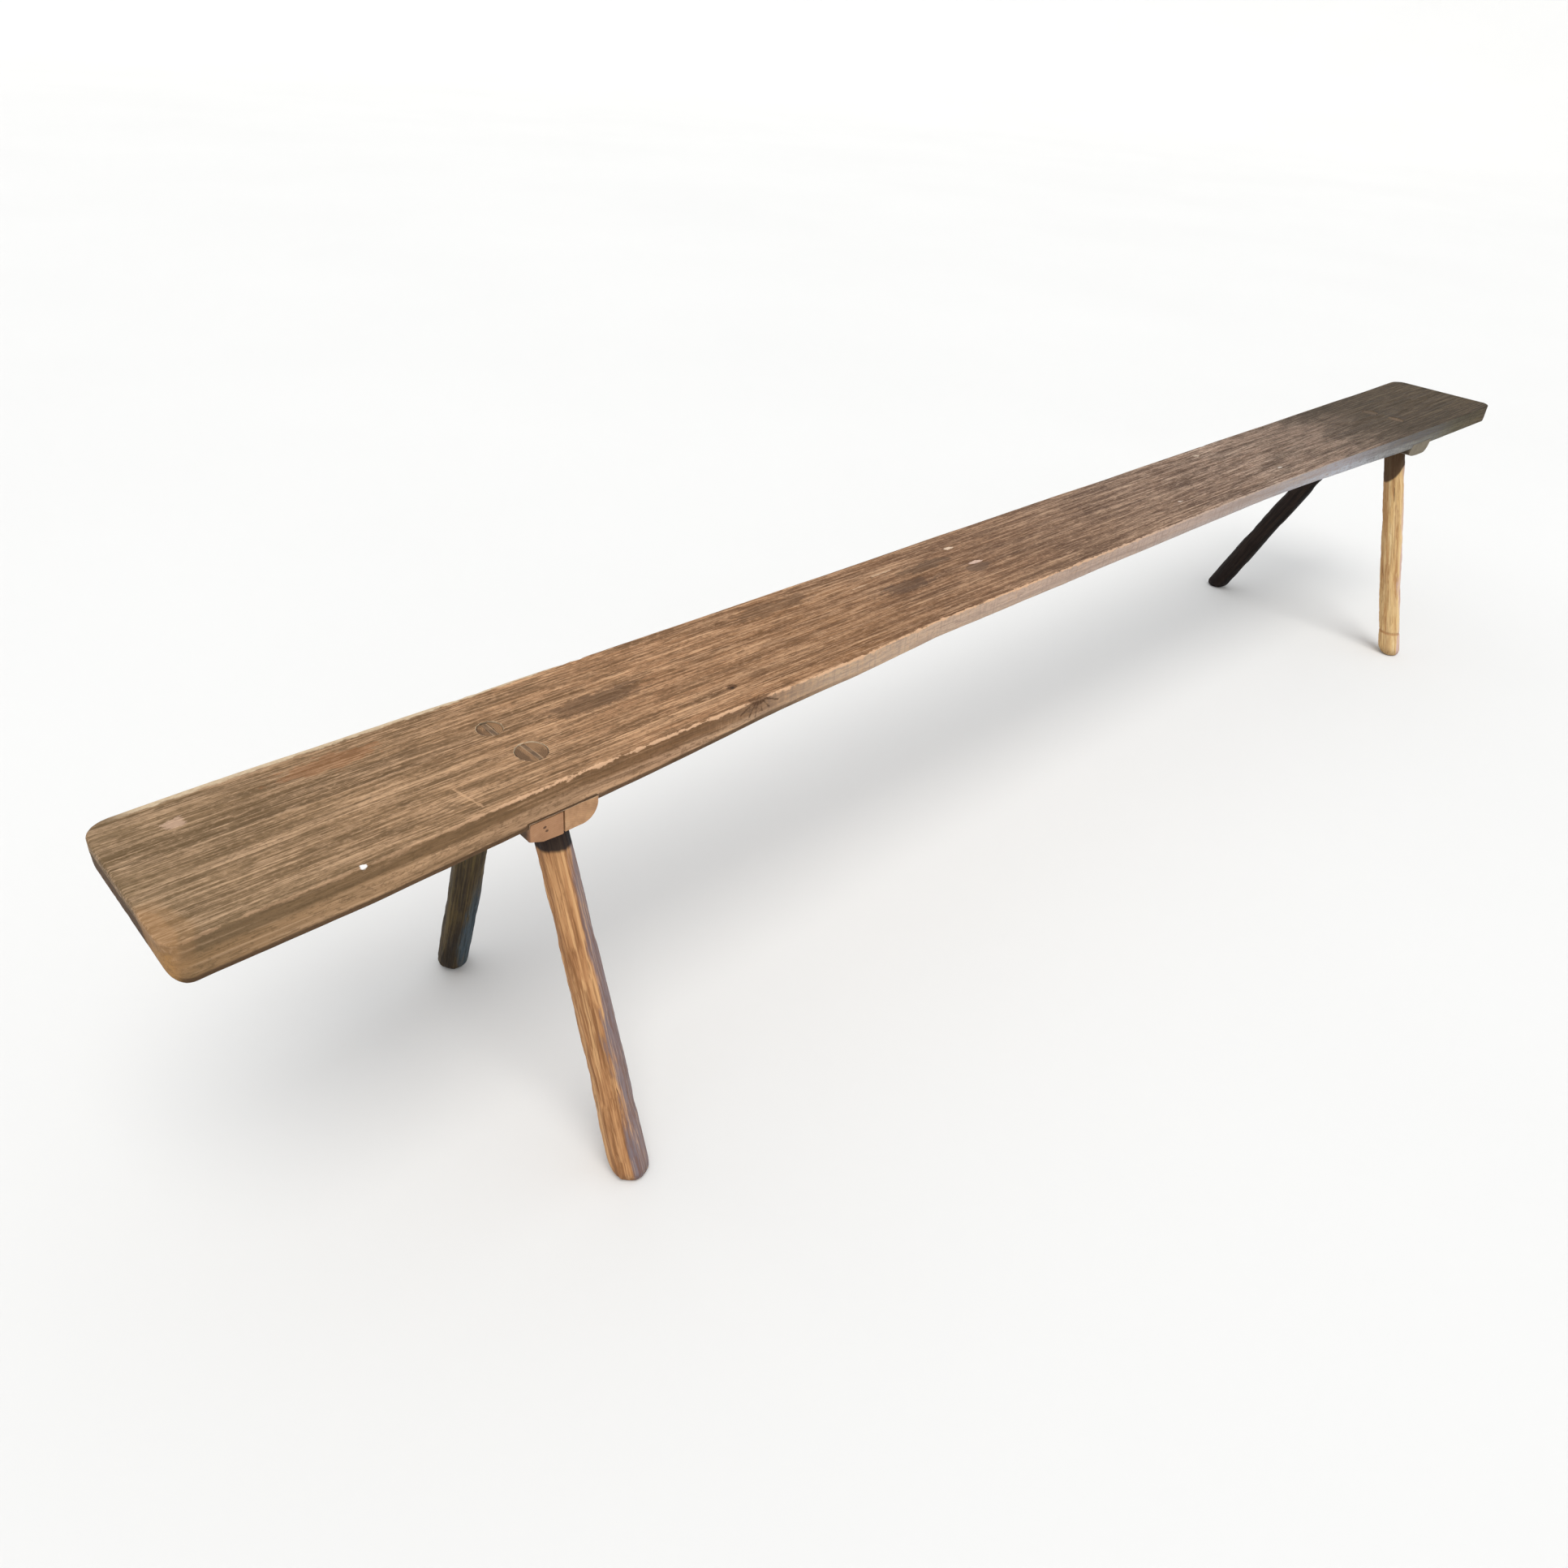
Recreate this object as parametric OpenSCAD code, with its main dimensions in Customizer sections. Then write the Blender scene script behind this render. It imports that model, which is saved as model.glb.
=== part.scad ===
// Long farmhouse bench: a hewn plank seat, two battens let into its underside,
// and four splayed legs whose wedged tenons come up through the seat.
// Origin on the floor under the middle of the bench, +X along it, +Y to its back, +Z up.

/* [Seat] */
// Length of the seat from end to end
seat_length = 2800; // [2100:10:3600]
// Height of the seat's top face above the floor
seat_height = 466; // [300:1:600]
// Thickness of the seat at its left end
left_end_thickness = 44; // [30:0.5:60]
// Thickness over the left legs
left_leg_thickness = 41.5; // [28:0.5:60]
// Thickness at the left shoulder of the hewn-out waist
left_shoulder_thickness = 25; // [18:0.5:50]
// Thickness along the waist
waist_thickness = 25; // [15:0.5:50]
// Thickness at the right shoulder of the waist
right_shoulder_thickness = 29.5; // [18:0.5:50]
// Thickness over the right legs
right_leg_thickness = 35.5; // [28:0.5:60]
// Thickness at the right end
right_end_thickness = 34; // [30:0.5:60]
// Radius worn on the upper edge of each end
end_top_round = 3; // [1:0.5:12]
// Radius worn on the lower edge of each end
end_bottom_round = 17; // [2:0.5:18]

/* [Seat outline] */
// Distance of the back edge from the centre line at the left end
back_left_end = 94; // [70:0.5:160]
// Distance of the back edge where the left end's straight part ends
back_left = 97; // [70:0.5:160]
// Distance of the back edge from the centre line at the left shoulder of the waist
back_shoulder = 93.5; // [70:0.5:160]
// Distance of the back edge from the centre line at the middle
back_middle = 96.5; // [70:0.5:160]
// Distance of the back edge from the centre line at the right end
back_right = 97; // [70:0.5:160]
// Distance of the front edge from the centre line at the left end
front_left_end = 105; // [70:0.5:160]
// Distance of the front edge over the left legs
front_left_legs = 98.5; // [70:0.5:160]
// Distance of the front edge along the waist
front_waist = 89.5; // [60:0.5:160]
// Distance of the front edge over the right legs
front_right_legs = 110; // [70:0.5:160]
// Distance of the front edge at the right end
front_right_end = 119; // [70:0.5:160]
// Distance from the left end at which both edges start to draw in
left_straight = 150; // [50:5:250]
// Distance of the waist's left shoulder from the left end
left_shoulder_inset = 750; // [650:5:820]
// Distance of the waist's right shoulder from the right end
right_shoulder_inset = 700; // [650:5:820]
// Distance of the waist's left end from the seat's left end
waist_inset_left = 950; // [850:5:1000]
// Distance of the waist's right end from the seat's right end
waist_inset_right = 1070; // [850:5:1100]
// Corner radii in plan: front left, back left, front right, back right
corner_r = [16, 25, 26, 28]; // [5:1:40]

/* [Battens] */
// Widths of the left and the right batten
batten_width = [82, 92]; // [60:1:120]
// Distance of the battens' centres to the right of the midpoints between their tenons
batten_shift = [0, -10]; // [-12:0.5:12]
// Thickness of the battens
batten_thickness = 26; // [18:0.5:40]
// Depths that the left and the right batten are let into the seat
batten_let_in = [6, 8]; // [3:0.5:12]
// Radius of the battens' rounded lower edge
batten_round = 20; // [5:0.5:24]
// Outward flare of the battens' other side
batten_flare = [3.5, 9]; // [0:0.5:10]
// Opening of the split in the left batten's front end
split_opening = 2; // [0.8:0.1:4]

/* [Legs] */
// Each list runs front left, back left, front right, back right.
// Distance of each tenon's centre from the nearer end of the seat
tenon_inset = [371, 361, 337, 339]; // [250:1:600]
// Place of each tenon's centre across the seat, behind the centre line
tenon_side = [-38, 22, -41, 12]; // [-60:1:60]
// Distance of each foot's centre from the nearer end of the seat
foot_inset = [358, 375, 361.5, 362]; // [150:0.5:700]
// Place of each foot's centre across the bench, behind the centre line
foot_side = [-212, 205, -212, 212]; // [-300:0.5:300]
// Diameter of each leg at its foot
foot_d = [46, 43, 42.5, 44]; // [30:0.5:60]
// Diameter of each leg where it meets its batten
neck_d = [37, 40, 40.5, 40]; // [30:0.5:60]

/* [Joints] */
// Diameter of each tenon
tenon_d = [32, 26, 28, 28]; // [18:0.5:38]
// Depth of each tenon's end below the seat's top face
tenon_recess = [0.5, 2, 1, 1]; // [0:0.5:4]
// Thickness of the wedges at the seat's top face
wedge_top = 6; // [3:0.5:8]
// Thickness of the wedges at their thin end
wedge_tip = 1.5; // [0.8:0.1:3]
// Length of the wedges
wedge_length = 36; // [15:1:50]
// Gap between a tenon and its bore, and between a batten's side and its housing
joint_gap = 0.3; // [0.1:0.1:1]
// Gap between a wedge and its kerf
wedge_gap = 0.1; // [0.05:0.05:0.5]

/* [Hidden] */
LEFT = 0;
RIGHT = 1;
FRONT_LEFT = 0;
BACK_LEFT = 1;
FRONT_RIGHT = 2;
BACK_RIGHT = 3;
half = seat_length / 2;
// Steps along the seat's edges and round its corners
edge_steps = 36;
corner_steps = 5;
// Length by which cutting and trimmed shapes run past what they meet
overrun = 25;
// Share of a batten's thickness at which its flared side is widest
flare_end = 0.7;
// Shares of a batten's half width and thickness at which the flared side's bevel meets its bottom
bevel_end = [0.6, 0.94];
$fn = 64;

seat_color = [0.45, 0.34, 0.25];
batten_color = [[0.70, 0.53, 0.38], [0.42, 0.41, 0.37]];
leg_color = [[0.60, 0.42, 0.27], [0.22, 0.18, 0.15], [0.80, 0.62, 0.36], [0.16, 0.12, 0.10]];
wedge_color = [0.52, 0.40, 0.28];

// End of the seat, LEFT or RIGHT, that a leg belongs to, and that end's sign on X
function side_of(leg) = floor(leg / 2);
function sign_of(leg) = side_of(leg) == LEFT ? -1 : 1;

// Tenon centre on the seat's top face, and foot centre on the floor
function tenon_place(leg) = [sign_of(leg) * (half - tenon_inset[leg]), tenon_side[leg], seat_height];
function foot_place(leg) = [sign_of(leg) * (half - foot_inset[leg]), foot_side[leg], 0];
function leg_run(leg) = tenon_place(leg) - foot_place(leg);

// Place along the seat of the left or the right pair of legs, and of their batten
function legs_x(side) = (tenon_place(2 * side).x + tenon_place(2 * side + 1).x) / 2;
function batten_x(side) = legs_x(side) + batten_shift[side];

// Smooth curve through stations [x, value]; it never overshoots them
function secant(s, i) = (s[i + 1].y - s[i].y) / (s[i + 1].x - s[i].x);
function slope(s, i) =
    i == 0 ? secant(s, 0) :
    i == len(s) - 1 ? secant(s, i - 1) :
    let(a = secant(s, i - 1), b = secant(s, i))
    a * b <= 0 ? 0 : 2 * a * b / (a + b);
function curve(s, x, i = 0) =
    i < len(s) - 2 && x > s[i + 1].x ? curve(s, x, i + 1) :
    let(run = s[i + 1].x - s[i].x, t = (x - s[i].x) / run, u = 1 - t)
    s[i].y * (1 + 2 * t) * u * u + s[i + 1].y * (3 - 2 * t) * t * t
        + run * (slope(s, i) * t * u * u - slope(s, i + 1) * t * t * u);

front_stations = [
    [-half, front_left_end],
    [-half + left_straight, front_left_end],
    [legs_x(LEFT), front_left_legs],
    [-half + left_shoulder_inset, front_left_legs],
    [-half + waist_inset_left, front_waist],
    [half - waist_inset_right, front_waist],
    [legs_x(RIGHT), front_right_legs],
    [half, front_right_end]];
back_stations = [
    [-half, back_left_end],
    [-half + left_straight, back_left],
    [-half + left_shoulder_inset, back_shoulder],
    [0, back_middle],
    [half, back_right]];
thickness_stations = [
    [-half, left_end_thickness],
    [legs_x(LEFT), left_leg_thickness],
    [-half + left_shoulder_inset, left_shoulder_thickness],
    [-half + waist_inset_left, waist_thickness],
    [half - waist_inset_right, waist_thickness],
    [half - right_shoulder_inset, right_shoulder_thickness],
    [legs_x(RIGHT), right_leg_thickness],
    [half, right_end_thickness]];

// Places along the seat for an edge with a round of radius r_left and r_right at its ends
function edge_places(r_left, r_right) = concat(
    [for (k = [corner_steps:-1:1]) -half + r_left * (1 - sin(90 * k / corner_steps))],
    [for (k = [0:edge_steps]) -half + r_left + (seat_length - r_left - r_right) * k / edge_steps],
    [for (k = [1:corner_steps]) half - r_right * (1 - sin(90 * k / corner_steps))]);

// How far a round of radius r at the nearer end pulls an edge in at x
function rounding(x, r_left, r_right) =
    let(r = x < 0 ? r_left : r_right, past = abs(x) - (half - r))
    past <= 0 ? 0 : r - sqrt(max(0, r * r - past * past));

// An edge through its stations, with its end rounds taken off
function edge(stations, r_left, r_right) =
    [for (x = edge_places(r_left, r_right)) [x, curve(stations, x) - rounding(x, r_left, r_right)]];

function reversed(points) = [for (i = [len(points) - 1:-1:0]) points[i]];

// Heights of the battens' top and bottom faces
function batten_top(side) =
    seat_height - curve(thickness_stations, legs_x(side)) + batten_let_in[side];
function batten_bottom(side) = batten_top(side) - batten_thickness;

// The seat's outline in plan, as a prism from the floor to its top face
module seat_prism() {
    front = edge(front_stations, corner_r[FRONT_LEFT], corner_r[FRONT_RIGHT]);
    back = edge(back_stations, corner_r[BACK_LEFT], corner_r[BACK_RIGHT]);
    linear_extrude(seat_height)
        polygon(concat([for (p = front) [p.x, -p.y]], reversed(back)));
}

// The seat's outline from the front, flat on top and hewn to a thin waist underneath
module seat_profile() {
    top = [for (x = edge_places(end_top_round, end_top_round))
        [x, seat_height - rounding(x, end_top_round, end_top_round)]];
    under = [for (p = edge(thickness_stations, end_bottom_round, end_bottom_round))
        [p.x, seat_height - p.y]];
    rotate([90, 0, 0])
        linear_extrude(seat_length, center = true)
            polygon(concat(top, reversed(under)));
}

// A batten's section from the front: flat on top, rounded on the right, flared on the left
module batten_section(side, gap = 0) {
    w = batten_width[side] / 2;
    t = batten_thickness;
    arc = [for (a = [0:10:90]) [w - batten_round * (1 - sin(a)), batten_round * (1 - cos(a)) - t]];
    polygon(concat(
        [[w + gap, 0], [-w + batten_flare[side] - gap, 0], [-w - gap, -flare_end * t],
            [-bevel_end.x * w - gap, -bevel_end.y * t], [0, -t]],
        [for (p = arc) [p.x + gap, p.y]]));
}

module batten_bar(side, gap = 0) {
    translate([batten_x(side), 0, batten_top(side)])
        rotate([90, 0, 0])
            linear_extrude(seat_length, center = true)
                batten_section(side, gap);
}

// Everything between two heights, well past the bench's sides
module slab(low, high) {
    translate([-seat_length, -seat_length, low])
        cube([2 * seat_length, 2 * seat_length, high - low]);
}

// Turns and moves a shape that stands on the origin so that it stands on a foot and leans along its leg
module along_leg(leg) {
    v = leg_run(leg);
    translate(foot_place(leg))
        rotate([-asin(v.y / norm(v)), atan2(v.x, v.z), 0])
            children();
}

// Distance along a leg's axis from the floor to its batten's underside
function neck_run(leg) = norm(leg_run(leg)) * batten_bottom(side_of(leg)) / seat_height;

// The hole that a tenon passes through, in batten and seat
module tenon_bore(leg) {
    along_leg(leg)
        translate([0, 0, neck_run(leg) - overrun])
            cylinder(h = norm(leg_run(leg)) - neck_run(leg) + 2 * overrun, d = tenon_d[leg] + 2 * joint_gap);
}

// A wedge's tapered section, thick at the seat's top face, drawn out across the tenon
module wedge_blade(leg, gap = 0) {
    taper = (wedge_top - wedge_tip) / 2 / wedge_length;
    high = wedge_top / 2 + taper * overrun + gap;
    low = wedge_tip / 2 + gap;
    along_leg(leg)
        translate([0, 0, norm(leg_run(leg))])
            rotate([90, 0, 0])
                linear_extrude(2 * tenon_d[leg], center = true)
                    polygon([[-high, overrun], [high, overrun], [low, -wedge_length - gap], [-low, -wedge_length - gap]]);
}

module tenon(leg) {
    intersection() {
        along_leg(leg)
            translate([0, 0, neck_run(leg) - overrun])
                cylinder(h = norm(leg_run(leg)) - neck_run(leg) + 2 * overrun, d = tenon_d[leg]);
        slab(batten_bottom(side_of(leg)) - overrun, seat_height - tenon_recess[leg]);
    }
}

// A tapered stake cut level at the floor and at the batten, with its kerfed tenon
module leg(leg) {
    taper = (foot_d[leg] - neck_d[leg]) / neck_run(leg);
    color(leg_color[leg])
        difference() {
            union() {
                intersection() {
                    along_leg(leg)
                        translate([0, 0, -overrun])
                            cylinder(h = neck_run(leg) + 2 * overrun,
                                d1 = foot_d[leg] + taper * overrun, d2 = neck_d[leg] - taper * overrun);
                    slab(0, batten_bottom(side_of(leg)));
                }
                tenon(leg);
            }
            wedge_blade(leg, wedge_gap);
        }
}

module wedge(leg) {
    color(wedge_color)
        intersection() {
            wedge_blade(leg);
            tenon(leg);
        }
}

// The split that runs from the left batten's front end to its front leg's bore
module batten_split() {
    bore_y = foot_place(FRONT_LEFT).y
        + leg_run(FRONT_LEFT).y * batten_top(LEFT) / seat_height;
    translate([batten_x(LEFT), 0, batten_bottom(LEFT) - overrun])
        linear_extrude(batten_thickness + 2 * overrun)
            polygon([[0, bore_y], [-split_opening / 2, -front_left_legs - overrun],
                [split_opening / 2, -front_left_legs - overrun]]);
}

module batten(side) {
    color(batten_color[side])
        difference() {
            intersection() {
                batten_bar(side);
                seat_prism();
            }
            for (leg = [2 * side, 2 * side + 1]) tenon_bore(leg);
            if (side == LEFT) batten_split();
        }
}

module seat_plank() {
    color(seat_color)
        difference() {
            intersection() {
                seat_prism();
                seat_profile();
            }
            for (side = [LEFT, RIGHT]) batten_bar(side, joint_gap);
            for (leg = [FRONT_LEFT:BACK_RIGHT]) tenon_bore(leg);
        }
}

seat_plank();
batten(LEFT);  // batten_left
batten(RIGHT);  // batten_right
leg(FRONT_LEFT);  // leg_front_left
leg(BACK_LEFT);  // leg_back_left
leg(FRONT_RIGHT);  // leg_front_right
leg(BACK_RIGHT);  // leg_back_right
wedge(FRONT_LEFT);  // wedge_front_left
wedge(BACK_LEFT);  // wedge_back_left
wedge(FRONT_RIGHT);  // wedge_front_right
wedge(BACK_RIGHT);  // wedge_back_right
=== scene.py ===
"""Long farmhouse bench: a hewn plank on two let-in battens and four splayed stakes."""

import math

import bmesh
import bpy
import numpy as np
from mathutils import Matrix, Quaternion, Vector, noise
from mathutils.bvhtree import BVHTree


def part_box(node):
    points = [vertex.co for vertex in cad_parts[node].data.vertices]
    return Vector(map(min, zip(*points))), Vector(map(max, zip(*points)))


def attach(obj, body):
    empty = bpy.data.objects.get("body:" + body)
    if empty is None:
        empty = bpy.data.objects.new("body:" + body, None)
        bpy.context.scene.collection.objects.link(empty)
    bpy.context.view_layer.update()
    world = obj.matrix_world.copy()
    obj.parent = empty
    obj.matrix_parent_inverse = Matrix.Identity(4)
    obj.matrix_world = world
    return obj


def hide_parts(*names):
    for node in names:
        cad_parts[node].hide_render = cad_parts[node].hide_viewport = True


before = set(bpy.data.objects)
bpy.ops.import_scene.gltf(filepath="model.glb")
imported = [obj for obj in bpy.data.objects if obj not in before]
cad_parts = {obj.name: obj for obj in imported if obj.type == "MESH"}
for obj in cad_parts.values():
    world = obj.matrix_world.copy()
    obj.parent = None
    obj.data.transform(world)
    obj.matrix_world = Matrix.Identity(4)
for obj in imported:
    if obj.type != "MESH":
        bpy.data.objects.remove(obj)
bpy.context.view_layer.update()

# ---------------------------------------------------------------------------
# The room: a pale studio floor that sweeps up into a wall, soft light from all
# round and a high soft lamp in front, and the camera above the bench's left end.
# ---------------------------------------------------------------------------


def tone(red, green, blue):
    """A colour as it looks, 0 to 255, as the linear colour that a shader wants."""
    parts = [c / 255 for c in (red, green, blue)]
    return tuple(c / 12.92 if c <= 0.04045 else ((c + 0.055) / 1.055) ** 2.4 for c in parts) + (1.0,)


class Paint:
    """A socket of a node tree. Arithmetic on it adds Math nodes, and make() adds any other node."""

    def __init__(self, tree, socket=None):
        self.tree = tree
        self.socket = socket

    def make(self, kind, settings, inputs, output=0):
        node = self.tree.nodes.new(kind)
        for name, value in settings.items():
            if name == "stops":
                ramp = node.color_ramp
                while len(ramp.elements) < len(value):
                    ramp.elements.new(1.0)
                for element, (place, colour) in zip(ramp.elements, value):
                    element.position = place
                    element.color = colour
            else:
                setattr(node, name, value)
        for key, value in inputs.items():
            if isinstance(value, Paint):
                self.tree.links.new(value.socket, node.inputs[key])
            else:
                node.inputs[key].default_value = value
        return Paint(self.tree, node.outputs[output])

    def math(self, operation, *values):
        return self.make("ShaderNodeMath", {"operation": operation}, dict(enumerate(values)))

    def vector(self, operation, *values, output=0):
        """A Vector Math node. SCALE takes a vector and its factor."""
        sockets = (0, 3) if operation == "SCALE" else (0, 1)
        return self.make("ShaderNodeVectorMath", {"operation": operation}, dict(zip(sockets, values)), output)

    def __add__(self, other):
        return self.math("ADD", self, other)

    __radd__ = __add__

    def __sub__(self, other):
        return self.math("SUBTRACT", self, other)

    def __rsub__(self, other):
        return self.math("SUBTRACT", other, self)

    def __mul__(self, other):
        return self.math("MULTIPLY", self, other)

    __rmul__ = __mul__

    def __truediv__(self, other):
        return self.math("DIVIDE", self, other)

    def __rtruediv__(self, other):
        return self.math("DIVIDE", other, self)


def new_material(name):
    """An empty material, the Paint that its nodes are made from, and its shader."""
    material = bpy.data.materials.new(name)
    material.use_nodes = True
    tree = material.node_tree
    shader = tree.nodes["Principled BSDF"]
    return material, Paint(tree), shader


def feed(shader, socket, value):
    shader.id_data.links.new(value.socket, shader.inputs[socket])


def rough_up(paint, shader, height, strength, distance, gloss):
    """Relief from a height, as deep as distance, and how much light the surface mirrors."""
    feed(shader, "Normal", paint.make(
        "ShaderNodeBump", {}, {"Strength": strength, "Distance": distance, "Height": height}))
    shader.inputs["Specular IOR Level"].default_value = gloss


def mesh_piece(name, points, faces):
    mesh = bpy.data.meshes.new(name)
    mesh.from_pydata([tuple(p) for p in points], [], [tuple(f) for f in faces])
    mesh.update()
    piece = bpy.data.objects.new(name, mesh)
    bpy.context.scene.collection.objects.link(piece)
    return piece


# The floor is a disc of rings that curves up at its rim, a hair below the feet.
floor_height = -0.0004
curve_start, curve_radius = 14.0, 8.0
sweep = [(0.0, 0.0), (2.0, 0.0), (5.0, 0.0), (9.0, 0.0), (curve_start, 0.0)]
for degrees in range(6, 91, 6):
    turn = math.radians(degrees)
    sweep.append((curve_start + curve_radius * math.sin(turn), curve_radius * (1 - math.cos(turn))))
sweep.append((curve_start + curve_radius, 14.0))
sweep_turns = 72
floor_points = [(0.0, 0.0, floor_height)]
for reach, climb in sweep[1:]:
    for turn in range(sweep_turns):
        angle = 2 * math.pi * turn / sweep_turns
        floor_points.append((reach * math.cos(angle), reach * math.sin(angle), climb + floor_height))
floor_faces = [(0, 1 + turn, 1 + (turn + 1) % sweep_turns) for turn in range(sweep_turns)]
for ring in range(len(sweep) - 2):
    for turn in range(sweep_turns):
        a, b = (1 + ring * sweep_turns + t % sweep_turns for t in (turn, turn + 1))
        floor_faces.append((a, a + sweep_turns, b + sweep_turns, b))
floor = mesh_piece("studio_floor", floor_points, floor_faces)
floor.data.shade_smooth()
floor_paint, paint, shader = new_material("studio_floor_paint")
place = paint.make("ShaderNodeTexCoord", {}, {}, "Object")
cloud = paint.make("ShaderNodeTexNoise", {}, {"Vector": place, "Scale": 0.7, "Detail": 3.0})
floor_greys = {0: cloud, 6: tone(229, 229, 228), 7: tone(234, 234, 233)}
feed(shader, "Base Color", paint.make("ShaderNodeMix", {"data_type": "RGBA"}, floor_greys, 2))
shader.inputs["Roughness"].default_value = 0.9
shader.inputs["Specular IOR Level"].default_value = 0.1
floor.data.materials.append(floor_paint)

world = bpy.data.worlds.new("pale_studio")
bpy.context.scene.world = world
world.use_nodes = True
sky = world.node_tree.nodes["Background"]
sky.inputs["Color"].default_value = (0.95, 0.97, 1.0, 1.0)
sky.inputs["Strength"].default_value = 0.83
bpy.context.scene.view_settings.view_transform = "Standard"

lamp = bpy.data.lights.new("high_soft_lamp", "SUN")
lamp.energy = 1.55
lamp.angle = math.radians(38)
lamp.color = (1.0, 0.975, 0.94)
high_lamp = bpy.data.objects.new("high_soft_lamp", lamp)
bpy.context.scene.collection.objects.link(high_lamp)
lamp_way = Vector((0.35, 0.75, -1.7))
high_lamp.rotation_euler = lamp_way.to_track_quat("-Z", "Y").to_euler()

camera_data = bpy.data.cameras.new("viewpoint")
camera_data.sensor_width = 36.0
camera_data.lens = 26.03
camera = bpy.data.objects.new("viewpoint", camera_data)
bpy.context.scene.collection.objects.link(camera)
camera.location = (-1.5225, -0.8610, 1.0930)
camera_way = Vector((0.59298, 0.57032, -0.56843))
camera_roll = Quaternion((0.0, 0.0, 1.0), math.radians(4.978))
camera.rotation_mode = "QUATERNION"
camera.rotation_quaternion = camera_way.to_track_quat("-Z", "Y") @ camera_roll
bpy.context.scene.camera = camera

# ---------------------------------------------------------------------------
# The seat: one plank of softwood, split and hewn, thick over the legs and
# thinned to a waist underneath. Its arrises are worn and chipped by sitting,
# its top is weathered along the grain, and the battens and tenons are let in.
# ---------------------------------------------------------------------------

seat_low, seat_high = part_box("seat_plank")
seat_top = seat_high.z
seat_half = seat_high.x
seat_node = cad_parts["seat_plank"]
seat_shell = BVHTree.FromPolygons(
    [v.co.copy() for v in seat_node.data.vertices],
    [tuple(p.vertices) for p in seat_node.data.polygons],
)
batten_boxes = {side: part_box("batten_" + side) for side in ("left", "right")}
legs = {}
for corner in ("front_left", "back_left", "front_right", "back_right"):
    spots = np.array([v.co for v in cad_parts["leg_" + corner].data.vertices])
    side = corner.split("_")[1]
    neck_z = batten_boxes[side][0].z
    rings = {}
    for ring, height in (("foot", 0.0), ("neck", neck_z), ("tenon", spots[:, 2].max())):
        level_spots = spots[np.abs(spots[:, 2] - height) < 0.0001]
        low, high = level_spots.min(0), level_spots.max(0)
        rings[ring] = ((low + high) / 2, (high[0] - low[0]) / 2)
    legs[corner] = {"side": side, "rings": rings}


def seat_reach(start, way):
    return seat_shell.ray_cast(Vector(start), Vector(way))[0]


# Where the plank is measured: close together round its two ends, even between them.
end_round = 0.032
probe_y = -0.078
probe_depth = 0.015
end_run = [end_round * (1 - math.cos(math.radians(a))) for a in range(0, 91, 6)]
even_end = seat_half - 0.0375
seat_x = np.array(
    [-seat_half + e for e in end_run]
    + list(np.linspace(-even_end, even_end, 478))
    + [seat_half - e for e in reversed(end_run)]
)
inside_x = np.clip(seat_x, -seat_half + 0.0001, seat_half - 0.0001)
side_z = seat_top - probe_depth
seat_front = np.array([seat_reach((x, -1.0, side_z), (0, 1, 0)).y for x in inside_x])
seat_back = np.array([seat_reach((x, 1.0, side_z), (0, -1, 0)).y for x in inside_x])
seat_upper = np.array([seat_reach((x, probe_y, 2.0), (0, 0, -1)).z for x in inside_x])
seat_under = np.array([seat_reach((x, probe_y, -1.0), (0, 0, 1)).z for x in inside_x])
# The battens' housings are left out of the underside here, and cut into it later.
clear = np.ones(len(seat_x), bool)
for low, high in batten_boxes.values():
    clear &= (seat_x < low.x - 0.004) | (seat_x > high.x + 0.004)
seat_under = np.interp(seat_x, seat_x[clear], seat_under[clear])

edge_run = [0.0, 0.0005, 0.0011, 0.0019, 0.003, 0.0045, 0.0066, 0.0096]
side_run = [0.0, 0.0005, 0.0011, 0.0019, 0.003, 0.0047]
across_steps = 46
down_steps = 5


def spread(low, high, run, steps):
    """Places from low to high, close together near both ends."""
    inner = np.linspace(low + run[-1], high - run[-1], steps + 1)[1:-1]
    return np.concatenate([low + np.array(run), inner, high - np.array(run[::-1])])


def wobble(x, y, z, size):
    """Smooth noise from -1 to 1, with size in waves per metre along each axis."""
    return noise.noise(Vector((x * size[0], y * size[1], z * size[2])))


knots = [(-0.779, -0.1015, 0.011), (-0.785, -0.060, 0.005)]
bites = [(-1.035, 0.0022), (-1.013, 0.0016), (-0.905, 0.0018), (-0.884, 0.0024), (0.51, 0.0015)]
count_y = len(edge_run) * 2 + across_steps - 1
count_z = len(side_run) * 2 + down_steps - 1
seat_points, front_run, back_run, under_run = [], [], [], []
index = {}


def held(share):
    """A share kept between 0 and 1."""
    return max(0.0, min(1.0, share))


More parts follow.
